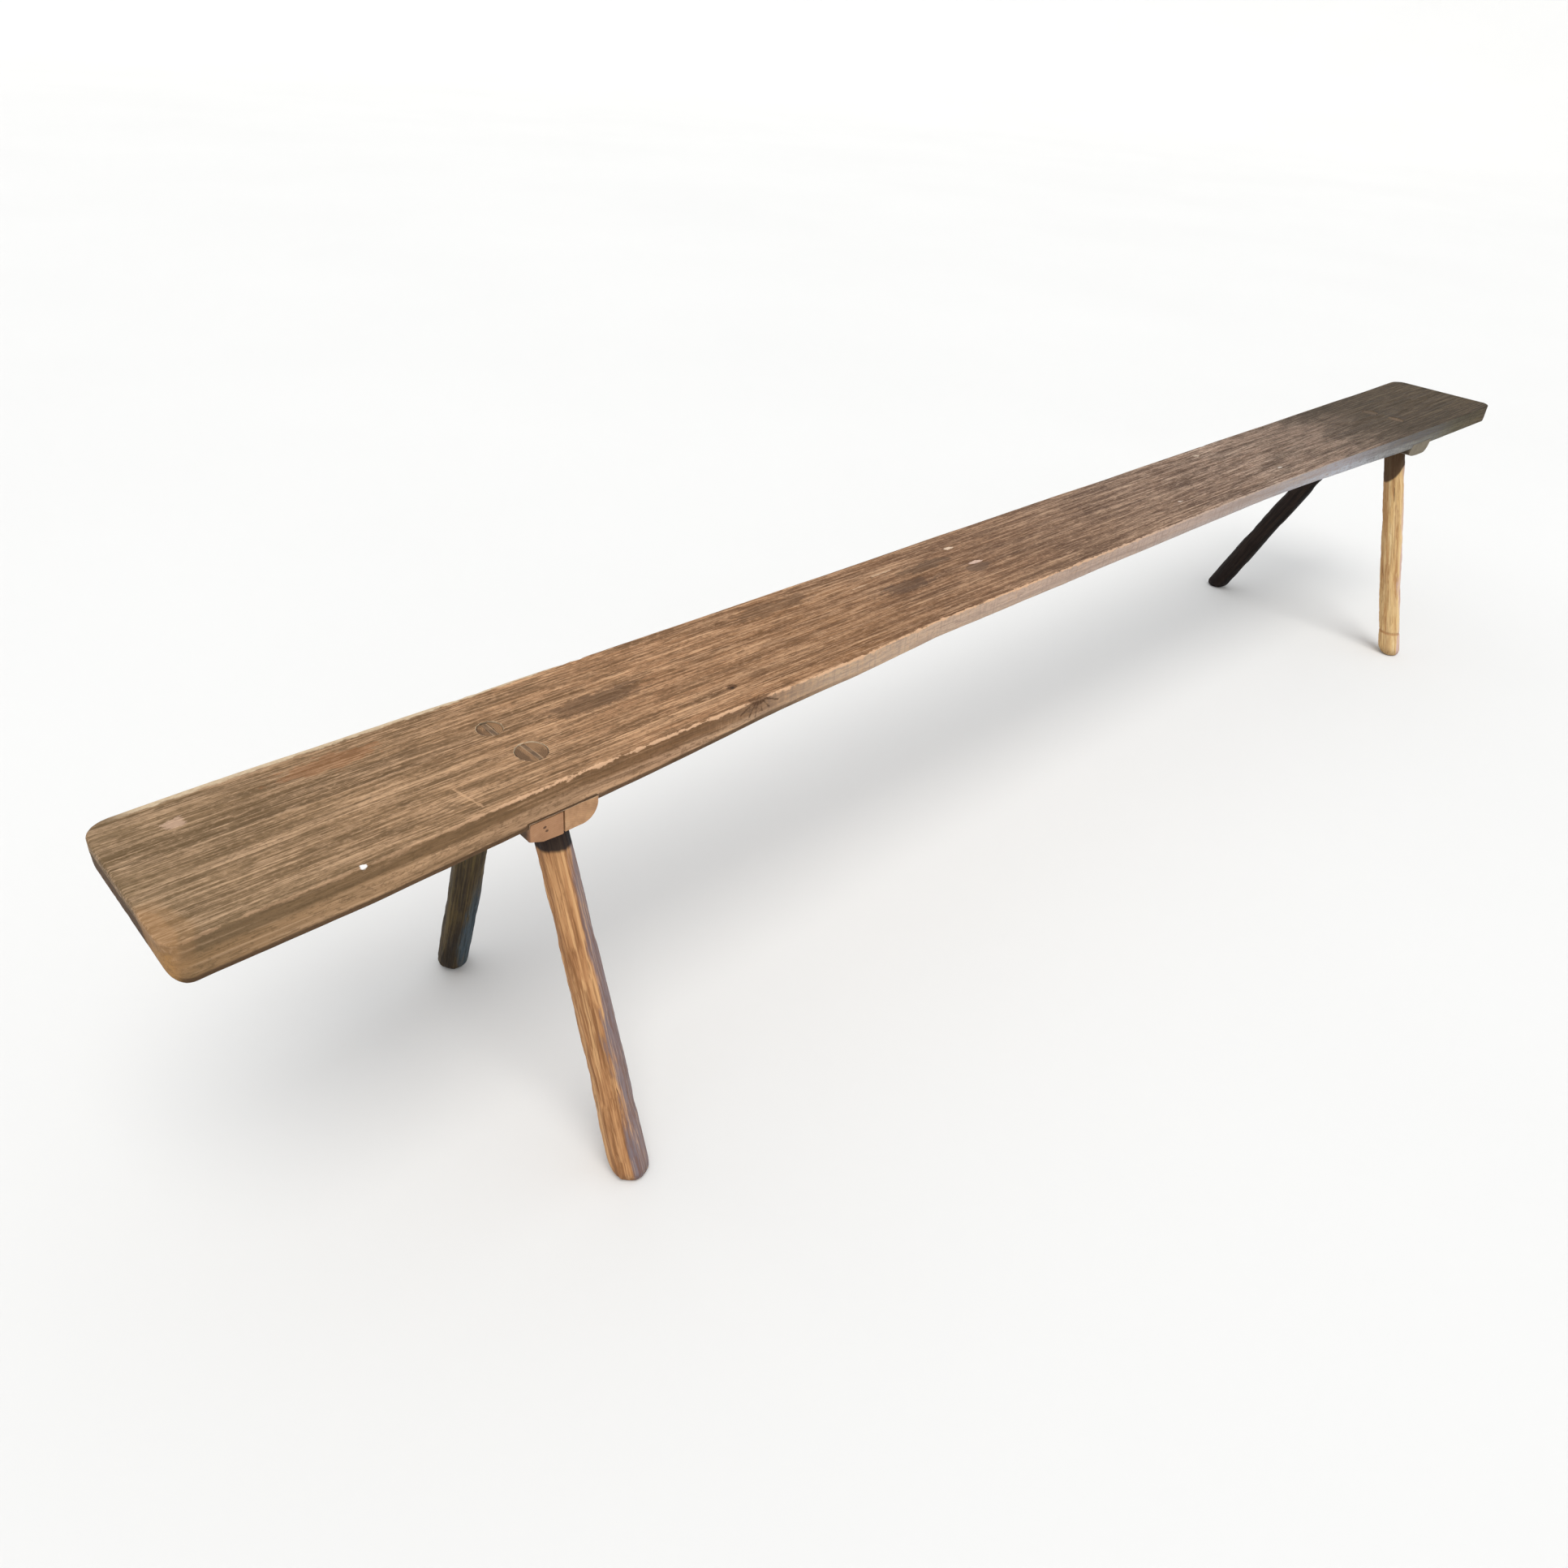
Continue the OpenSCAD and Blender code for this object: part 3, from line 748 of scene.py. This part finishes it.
# Short checks that fan out from the knot in the front arris, down over the front edge.
knot_x, check_y = knots[0][0], -0.0985
for reach, depth in (
    (-0.026, 0.012), (-0.013, 0.018), (-0.004, 0.021), (0.006, 0.017), (0.016, 0.015), (0.029, 0.010),
):
    start = (knot_x + reach * 0.25, check_y, seat_top - 0.001)
    end = (knot_x + reach, check_y, seat_top - depth)
    marks.append((scratch(paint, place, start, end, 0.0019, ragged), 0.8, (78, 54, 36)))
for mask, strength, colour in marks:
    paint_all = over(paint, mask * strength, paint_all, tone(*colour))
feed(shader, "Base Color", paint_all)
feed(shader, "Roughness", 0.58 + 0.22 * fibre + 0.12 * late)
height = (1 - late) * 0.15 + (1 - fibre) * 0.5 + (1 - coarse_fibre) * 0.8 + (1 - dash) * 0.5
height = height + chips * 0.3 + mark * is_front * 0.6
rough_up(paint, shader, height, 0.8, 0.0012, 0.18)
seat.data.materials.clear()
seat.data.materials.append(seat_wood)
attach(seat, "root")
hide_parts("seat_plank")

# ---------------------------------------------------------------------------
# The battens: two crosspieces let into the plank's underside, planed flat on
# top, rounded on one lower edge and flared on the other. The left one is of a
# paler, cleaner wood and has split in front of its leg's tenon.
# ---------------------------------------------------------------------------


def seat_edge(line, x):
    return float(np.interp(x, seat_x, line))


woods = {
    "left": (tone(192, 148, 108), tone(126, 88, 58), tone(218, 178, 138), tone(112, 82, 56)),
    "right": (tone(122, 112, 94), tone(74, 68, 56), tone(152, 144, 124), tone(70, 62, 50)),
}
for side, (base, dark, light, shaded) in woods.items():
    batten = batten_block("batten_" + side + "_timber", side, 0.0, 70,
                          lambda x: seat_edge(seat_front, x) + 0.0004, lambda x: seat_edge(seat_back, x) - 0.0006)
    low, high = batten_boxes[side]
    middle = (low.x + high.x) / 2
    corners = [c for c in legs if legs[c]["side"] == side]
    front_y = seat_edge(seat_front, middle)
    for vertex in batten.data.vertices:
        px, py, pz = vertex.co
        near_front = max(0.0, 1 - (py - front_y) / 0.045)
        if side == "left" and px < middle:
            vertex.co.z -= 0.0016 * near_front  # the split half has dropped a little
        if pz < high.z - 0.0075:
            rough = 0.0005 * wobble(px, py, pz, (30, 9, 30)) + 0.0002 * wobble(px, py, pz, (120, 30, 120))
            vertex.co.x -= math.copysign(abs(rough), px - middle)
            vertex.co.z += abs(rough)
    tools = [bore_tool(corner, 0.0008) for corner in corners]
    if side == "left":
        # The split: a tapering, slightly crooked slit from the front end to the tenon's bore.
        slit, slit_faces, count = [], [], 14
        slit_start, slit_run = front_y - 0.01, 0.045
        for step in range(count + 1):
            share = step / count
            py = slit_start + slit_run * share
            px = middle + 0.0014 * math.sin(share * 7) * share
            half = 0.0012 * (1 - 0.6 * share)
            for pz, lean in ((low.z - 0.01, -0.0006), (high.z + 0.01, 0.0006)):
                slit += [(px - half + lean, py, pz), (px + half + lean, py, pz)]
        for step in range(count):
            a = step * 4
            for face in ((0, 4, 6, 2), (1, 3, 7, 5), (0, 1, 5, 4), (2, 6, 7, 3)):
                slit_faces.append([a + n for n in face])
        slit_faces += [(0, 2, 3, 1), (count * 4, count * 4 + 1, count * 4 + 3, count * 4 + 2)]
        tools.append(mesh_piece("split", slit, slit_faces))
    carve(batten, tools)
    finish_mesh(batten)
    batten_wood, paint, shader = new_material("batten_" + side + "_wood")
    place = paint.make("ShaderNodeTexCoord", {}, {}, "Object")
    x, y, z = parts_of(paint, place)
    fibre = cloudy(paint, place, (300.0, 9.0, 300.0), 3.0, 0.6)
    coarse_fibre = cloudy(paint, place, (80.0, 3.0, 80.0), 3.0, 0.6)
    patch = cloudy(paint, place, (28.0, 12.0, 34.0), 3.0, 0.6)
    ring_z = z - (low.z - 0.05)
    ring_x = x - middle + 0.01
    ring = paint.math("FRACT", paint.math("SQRT", ring_x * ring_x + ring_z * ring_z) * 420 + patch * 1.5)
    late = rise(paint, ring, 0.4, 0.9) * rise(paint, ring, 1.0, 0.93)
    end_face = rise(paint, y, front_y + 0.006, front_y + 0.002)
    colour = coats(paint, base, (
        (patch, 0.5, 0.75, 0.4, dark),
        (coarse_fibre, 0.5, 0.75, 0.3, dark),
        (coarse_fibre, 0.45, 0.25, 0.35, light),
    ))
    colour = coats(paint, over(paint, late * 0.14, colour, dark), ((fibre, 0.45, 0.75, 0.15, dark),))
    # Painted shade: every face but the front end is darkened towards the shaded colour, and the left flank darker
    # still.
    colour = over(paint, (1 - end_face) * 0.55, colour, shaded)
    colour = coats(paint, colour, ((x, low.x + 0.0035, low.x + 0.0008, 0.8, tone(62, 46, 34)),))
    if side == "left":
        bare_end = (x, middle + 0.001, middle - 0.001, end_face * 0.45, tone(150, 102, 72))
        colour = coats(paint, colour, (bare_end,))
        for dot_x, dot_z in ((-0.022, -0.010), (-0.020, -0.015)):
            dot = fleck(paint, place, (middle + dot_x, front_y, high.z + dot_z), (0.0019, 0.01, 0.0015), fibre)
            colour = over(paint, dot * 0.85, colour, tone(74, 46, 30))
    feed(shader, "Base Color", colour)
    feed(shader, "Roughness", 0.6 + 0.2 * fibre)
    rough_up(paint, shader, fibre * 0.5 + coarse_fibre + late * 0.3, 0.5, 0.0008, 0.35)
    batten.data.materials.clear()
    batten.data.materials.append(batten_wood)
    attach(batten, "root")
    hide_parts("batten_" + side)
    "batten_" + side + "_wood"

# ---------------------------------------------------------------------------
# The legs: four stakes hewn or peeled from young poles, a little crooked, sawn
# level at the floor. Each is shouldered under its batten, and its tenon runs up
# through batten and seat. A fifth of the skin is the tenon and its end.
# ---------------------------------------------------------------------------



def new_tree(name, result, vectors, numbers):
    """A Geometry Nodes tree with its inputs: the tree, their identifiers, its Paint and their sockets."""
    tree = bpy.data.node_groups.new(name, "GeometryNodeTree")
    kinds = {**dict.fromkeys(vectors, "NodeSocketVector"), **dict.fromkeys(numbers, "NodeSocketFloat"),
             "Wood": "NodeSocketMaterial"}
    keys = {label: tree.interface.new_socket(label, in_out="INPUT", socket_type=kind).identifier
            for label, kind in kinds.items()}
    tree.interface.new_socket(result, in_out="OUTPUT", socket_type="NodeSocketGeometry")
    entry = tree.nodes.new("NodeGroupInput")
    return tree, keys, Paint(tree), {label: Paint(tree, entry.outputs[label]) for label in kinds}


def end_tree(tree, wood, shape, material, result):
    """The tree's end: one real mesh of one material."""
    real = wood.make("GeometryNodeRealizeInstances", {}, {"Geometry": shape})
    dressed = wood.make("GeometryNodeSetMaterial", {}, {"Geometry": real, "Material": material})
    leave = tree.nodes.new("NodeGroupOutput")
    tree.links.new(dressed.socket, leave.inputs[result])


leg_tree, leg_keys, wood, given = new_tree(
    "stake_leg", "Leg", ("Foot Middle", "Tenon Middle"),
    ("Foot Radius", "Neck Radius", "Tenon Radius", "Neck Height", "Hewn Sides", "Hewing", "Crook", "Knobs",
     "Groove Height", "Groove Depth", "Seed"))


def share_of(run, low, high):
    """0 below low, 1 above high and straight between, for a stretch of the skin."""
    stretch = {0: run, 1: low, 2: high, 3: 0.0, 4: 1.0}
    return run.make("ShaderNodeMapRange", {"interpolation_type": "LINEAR"}, stretch)


def joined(paint, x, y, z):
    return paint.make("ShaderNodeCombineXYZ", {}, {0: x, 1: y, 2: z})


around, up = 96, 300
skin_size = {"Size X": 1.0, "Size Y": 1.0, "Vertices X": around + 1, "Vertices Y": up + 1}
skin = wood.make("GeometryNodeMeshGrid", {}, skin_size)
sheet = parts_of(wood, wood.make("GeometryNodeInputPosition", {}, {}))
angle = (sheet[0] + 0.5) * (2 * math.pi)
run = sheet[1] + 0.5
cap = share_of(run, 0.0, 0.05)
rim = share_of(run, 0.05, 0.08)
body = share_of(run, 0.08, 0.80)
shoulder = share_of(run, 0.80, 0.82)
tenon_rise = share_of(run, 0.82, 0.95)
tenon_cap = share_of(run, 0.95, 1.0)
rim_depth, rim_height = 0.46, 0.015
foot_rim = wood.math("SINE", rim * (math.pi / 2))
rim_rise = (1 - wood.math("COSINE", rim * (math.pi / 2))) * rim_height
tenon_height = parts_of(wood, given["Tenon Middle"])[2]
height = rim_rise + body * (given["Neck Height"] - rim_height)
height = height + tenon_rise * (tenon_height - given["Neck Height"])
round_way = joined(wood, wood.math("COSINE", angle), wood.math("SINE", angle), 0.0)

# Hewn sides: the round is cut back towards a many-sided one whose corners wander up the leg.
seed_shift = joined(wood, given["Seed"] * 3.7, given["Seed"] * 1.9, given["Seed"])
skin_round = 0.02
skin_spot = joined(wood, wood.math("COSINE", angle) * skin_round, wood.math("SINE", angle) * skin_round, height)
space = wood.vector("ADD", skin_spot, seed_shift)
wander = (cloudy(wood, space, (24.0, 24.0, 3.0), 1.0) - 0.5) * 1.5
side_angle = (2 * math.pi) / given["Hewn Sides"]
within = wood.math("FLOORED_MODULO", angle + wander, side_angle) - side_angle * 0.5
flat = wood.math("COSINE", side_angle * 0.5) / wood.math("COSINE", within)
form = 1 - (1 - flat) * given["Hewing"]
knobs = wood.math("MAXIMUM", cloudy(wood, space, (45.0, 45.0, 16.0), 3.0, 0.6) - 0.42, 0.0) * given["Knobs"]
fine = wood.math("MAXIMUM", cloudy(wood, space, (260.0, 260.0, 14.0), 2.0) - 0.5, 0.0) * 0.0012
groove_far = wood.math("ABSOLUTE", height - given["Groove Height"] + (wander * 0.002))
groove = (1 - share_of(groove_far, 0.0008, 0.0035)) * given["Groove Depth"]
body_radius = given["Foot Radius"] + (given["Neck Radius"] - given["Foot Radius"]) * body
body_radius = body_radius * form - (knobs + fine + groove)
core = (cap * (1 - rim_depth) + foot_rim * rim_depth) * (1 - tenon_cap)
radius = (body_radius * (1 - shoulder) + (given["Tenon Radius"] - fine) * shoulder) * core
flat_out = wood.vector("SCALE", round_way, radius)

# The leg leans: it is drawn out along its lean, so that level cuts through it are true.
lean = wood.vector("SUBTRACT", given["Tenon Middle"], given["Foot Middle"])
slope = wood.vector("SCALE", lean, 1 / tenon_height)
level_slope = wood.vector("MULTIPLY", slope, (1.0, 1.0, 0.0))
tilt = wood.vector("NORMALIZE", level_slope)
steep = wood.vector("LENGTH", level_slope, output="Value")
longer = wood.math("SQRT", steep * steep + 1.0) - 1.0
tilt_share = wood.vector("DOT_PRODUCT", flat_out, tilt, output="Value")
drawn = wood.vector("SCALE", tilt, tilt_share * longer)
out = wood.vector("ADD", flat_out, drawn)
crook_share = wood.math("SINE", body * math.pi) * given["Crook"]
seed_line = joined(wood, given["Seed"] * 5.3, body * 1.6, 0.0)
crook_way = wood.make("ShaderNodeTexNoise", {}, {"Vector": seed_line, "Scale": 1.0, "Detail": 0.0}, "Color")
crook_way = wood.vector("SUBTRACT", crook_way, (0.5, 0.5, 0.5))
crook = wood.vector("SCALE", crook_way, crook_share * 2.0)
crook = wood.vector("MULTIPLY", crook, (1.0, 1.0, 0.0))
axis = wood.vector("SCALE", slope, height)
spot = wood.vector("ADD", given["Foot Middle"], axis)
spot = wood.vector("ADD", spot, out)
spot = wood.vector("ADD", spot, crook)
straight = wood.vector("ADD", flat_out, joined(wood, 0.0, 0.0, height))
stored = wood.make("GeometryNodeStoreNamedAttribute", {"data_type": "FLOAT_VECTOR", "domain": "POINT"},
                   {"Geometry": skin, "Name": "straight", "Value": straight})
shaped = wood.make("GeometryNodeSetPosition", {}, {"Geometry": stored, "Position": spot})
closed = wood.make("GeometryNodeMergeByDistance", {}, {"Geometry": shaped, "Distance": 0.00002})
end_tree(leg_tree, wood, closed, given["Wood"], "Leg")


def grown(name, tree, keys, values):
    """The mesh that a tree makes from its named inputs, as a plain piece."""
    piece = mesh_piece(name, [(0, 0, 0)], [])
    growth = piece.modifiers.new("growth", "NODES")
    growth.node_group = tree
    for key, value in values.items():
        growth[keys[key]] = value
    bpy.context.view_layer.update()
    mesh = bpy.data.meshes.new_from_object(piece.evaluated_get(bpy.context.evaluated_depsgraph_get()))
    piece.modifiers.clear()
    piece.data = mesh
    return piece


# The wedges: a thin tapered blade of split wood, driven across each tenon's end from above so
# that it spreads the tenon in its bore, and sawn off level with it.
wedge_tree, wedge_keys, wood, given = new_tree(
    "driven_wedge", "Wedge", ("Head Middle", "Lean"),
    ("Head Thickness", "Tip Thickness", "Depth", "Half Width", "Spare", "Raised", "Seed"))
block_size = {"Size": (1.0, 1.0, 1.0), "Vertices X": 9, "Vertices Y": 33, "Vertices Z": 33}
block = wood.make("GeometryNodeMeshCube", {}, block_size)
bx, by, bz = parts_of(wood, wood.make("GeometryNodeInputPosition", {}, {}))
below = (0.5 - bz) * given["Depth"]
taper = given["Tip Thickness"] - given["Head Thickness"]
thick = given["Head Thickness"] + taper * (0.5 - bz) + given["Spare"] * 2.0
bow = wood.math("SINE", (by + given["Seed"]) * 3.1) * 0.0006
px = bx * thick + bow
widest = wood.math("SQRT", given["Half Width"] * given["Half Width"] - px * px)
py = by * 2.0 * (widest + given["Spare"] * 6.0)
head = wood.math("MULTIPLY", share_of(bz, 0.44, 0.5), given["Raised"])
pz = head - below - given["Spare"] * share_of(bz, -0.4, -0.5)
flat_spot = joined(wood, px, py, 0.0)
axis = wood.vector("SCALE", given["Lean"], pz)
spot = wood.vector("ADD", flat_spot, axis)
spot = wood.vector("ADD", spot, given["Head Middle"])
stored = wood.make("GeometryNodeStoreNamedAttribute", {"data_type": "FLOAT_VECTOR", "domain": "POINT"},
                   {"Geometry": block, "Name": "straight", "Value": joined(wood, px, py, pz)})
shaped = wood.make("GeometryNodeSetPosition", {}, {"Geometry": stored, "Position": spot})
end_tree(wedge_tree, wood, shaped, given["Wood"], "Wedge")

wedge_wood, paint, shader = new_material("wedge_wood")
own = paint.make("ShaderNodeAttribute", {"attribute_name": "straight"}, {}, "Vector")
x, y, z = parts_of(paint, own)
fibre = cloudy(paint, own, (900.0, 900.0, 40.0), 3.0, 0.6)
patch = cloudy(paint, own, (160.0, 90.0, 60.0), 3.0, 0.6)
pale_edge = paint.math("ABSOLUTE", x)
along_bench = parts_of(paint, paint.make("ShaderNodeTexCoord", {}, {}, "Object"))[0]
feed(shader, "Base Color", coats(paint, tone(126, 98, 70), (
    (patch, 0.42, 0.58, 0.8, tone(88, 66, 46)),
    (fibre, 0.45, 0.7, 0.6, tone(84, 62, 44)),
    (pale_edge, 0.0017, 0.0026, 0.55, tone(182, 150, 116)),
    (along_bench, 0.0, 0.5, 0.8, tone(74, 61, 47)),
)))
feed(shader, "Roughness", 0.66 + 0.2 * fibre)
rough_up(paint, shader, fibre + patch, 0.6, 0.0007, 0.5)

# How each stake was made: its hewn sides and how flat they are, its crook, knobs and groove, and
# the seed of its chances. Then its main, dark and light colours, the colour of painted shade on its
# side turned from the lamp, which way that side faces and how high it goes, its grime and painted
# shadow colour, and the depth and slope of the painted shadow that the batten casts on its neck.
groove_height = 0.047
stakes = {
    "front_left": (7.0, 0.34, 0.0035, 0.008, 0.0, 1.0, tone(180, 131, 88), tone(120, 79, 48), tone(218, 172, 122),
                   tone(112, 110, 122), -0.50, 0.55, tone(26, 25, 29), 0.029, 0.0),
    "back_left": (6.0, 0.45, 0.0030, 0.006, 0.0, 2.3, tone(70, 56, 34), tone(30, 24, 20), tone(98, 82, 46),
                  tone(62, 80, 92), -0.60, 0.24, tone(26, 22, 22), 0.035, 0.6),
    "front_right": (9.0, 0.25, 0.0025, 0.010, 0.0010, 3.1, tone(214, 178, 124), tone(164, 116, 74),
                    tone(232, 206, 158), tone(212, 184, 180), -0.60, 0.55, tone(74, 54, 38), 0.046, 1.1),
    # The back right stake's near-black colours are partly its own dark wood and partly painted shade from the
    # seat above it.
    "back_right": (9.0, 0.25, 0.0050, 0.010, 0.0, 4.6, tone(34, 24, 20), tone(19, 14, 13), tone(52, 39, 31),
                   tone(29, 28, 32), -0.60, 0.55, tone(18, 15, 15), 0.030, 0.0),
}
for corner, stake in stakes.items():
    sides, hewing, crook, knobs, groove, seed, base, dark, light, shaded_side_colour, *stake = stake
    shaded_side_turn, shaded_side_limit, grime_and_shadow, neck_shadow_depth, neck_shadow_slope = stake
    rings = legs[corner]["rings"]
    leg_wood, paint, shader = new_material("leg_" + corner + "_wood")
    own = paint.make("ShaderNodeAttribute", {"attribute_name": "straight"}, {}, "Vector")
    x, y, z = parts_of(paint, own)
    shift = (seed, seed * 2, seed * 3)
    fibre = cloudy(paint, own, (520.0, 520.0, 12.0), 4.0, 0.6, shift)
    streak = cloudy(paint, own, (120.0, 120.0, 4.5), 3.0, 0.6, shift)
    patch = cloudy(paint, own, (50.0, 50.0, 9.0), 4.0, 0.6, shift)
    check = cloudy(paint, own, (330.0, 330.0, 8.0), 2.0, 0.5, shift)
    turned = x * math.cos(shaded_side_turn) + y * math.sin(shaded_side_turn)
    edge_of_shaded_side = turned + (streak - 0.5) * 0.016 + (patch - 0.5) * 0.040 - z * 0.016
    below_limit = rise(paint, z, shaded_side_limit, shaded_side_limit - 0.12)
    neck_shadow_z = float(rings["neck"][0][2]) - neck_shadow_depth
    up_to_neck_shadow = z - (x * 0.69 - y * 0.72) * neck_shadow_slope + (streak - 0.5) * 0.004
    colour = coats(paint, base, (
        (patch, 0.50, 0.60, 0.50, dark),
        (streak, 0.51, 0.61, 0.60, dark),
        (streak, 0.47, 0.37, 0.65, light),
        (patch, 0.47, 0.38, 0.30, light),
        # painted shade: a cooler colour on the side turned from the lamp, below a set height
        (edge_of_shaded_side, 0.0020, 0.0095, below_limit * 0.80, shaded_side_colour),
        (fibre, 0.49, 0.60, 0.50, dark),
        (fibre, 0.46, 0.36, 0.35, light),
        (check, 0.69, 0.73, 0.75, grime_and_shadow),
        # painted shadow that the batten casts on the neck, its edge level or sloped
        (up_to_neck_shadow, neck_shadow_z - 0.003, neck_shadow_z + 0.002, 0.94, grime_and_shadow),
        (z + (patch - 0.5) * 0.03, 0.02, 0.002, 0.3, grime_and_shadow),
    ))
    if groove:
        ring_far = paint.math("ABSOLUTE", z - groove_height + (streak - 0.5) * 0.004)
        colour = coats(paint, colour, ((ring_far, 0.0045, 0.001, 0.6, dark),))
    # End grain: rings about the pith on the tenon's end, dark in the seat.
    from_pith = paint.math("SQRT", x * x + y * y)
    ring = paint.math("FRACT", from_pith * 520 + patch * 1.2)
    in_seat = rise(paint, z, seat_top - 0.012, seat_top - 0.006)
    end_colour = coats(paint, tone(150, 116, 84), (
        (ring, 0.4, 0.9, 0.5, tone(90, 66, 46)),
        (patch, 0.47, 0.60, 0.55, tone(84, 62, 44)),
        (x + (patch - 0.5) * 0.02, -0.006, -0.010, 0.6, tone(70, 52, 38)),
    ))
    if legs[corner]["side"] == "right":
        end_colour = over(paint, 0.78, end_colour, tone(76, 63, 49))
    colour = over(paint, in_seat, colour, end_colour)
    feed(shader, "Base Color", colour)
    feed(shader, "Roughness", 0.55 + 0.25 * fibre)
    height = fibre * 0.6 + streak * 0.8 + patch * 0.4 - rise(paint, check, 0.68, 0.74) * 1.2
    rough_up(paint, shader, height, 0.7, 0.0010, 0.16)

    foot, foot_radius = rings["foot"]
    neck, neck_radius = rings["neck"]
    tenon, tenon_radius = rings["tenon"]
    leg = grown("leg_" + corner + "_stake", leg_tree, leg_keys, {
        "Foot Middle": tuple(foot), "Tenon Middle": tuple(tenon), "Foot Radius": foot_radius,
        "Neck Radius": neck_radius, "Tenon Radius": tenon_radius, "Neck Height": float(neck[2]),
        "Hewn Sides": sides, "Hewing": hewing, "Crook": crook, "Knobs": knobs, "Groove Height": groove_height,
        "Groove Depth": groove, "Seed": seed, "Wood": leg_wood,
    })
    slope = (Vector(tenon) - Vector(foot)) / (tenon[2] - foot[2])
    blade = {
        "Head Middle": tuple(tenon), "Lean": tuple(slope), "Head Thickness": 0.006, "Tip Thickness": 0.0015,
        "Depth": 0.036, "Half Width": tenon_radius - 0.0002, "Spare": 0.0, "Raised": 0.0, "Seed": seed,
        "Wood": wedge_wood,
    }
    kerf = grown("kerf", wedge_tree, wedge_keys, {**blade, "Spare": 0.0002, "Raised": 0.004, "Wood": leg_wood})
    finish_mesh(leg)
    finish_mesh(kerf)
    carve(leg, [kerf])
    finish_mesh(leg)
    wedge = grown("wedge_" + corner + "_blade", wedge_tree, wedge_keys, blade)
    finish_mesh(wedge)
    stakes_slot = "leg_" + corner + "_wood"
    for piece, node, slot in ((leg, "leg_" + corner, stakes_slot), (wedge, "wedge_" + corner, "wedge_wood")):
        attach(piece, "root")
        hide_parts(node)
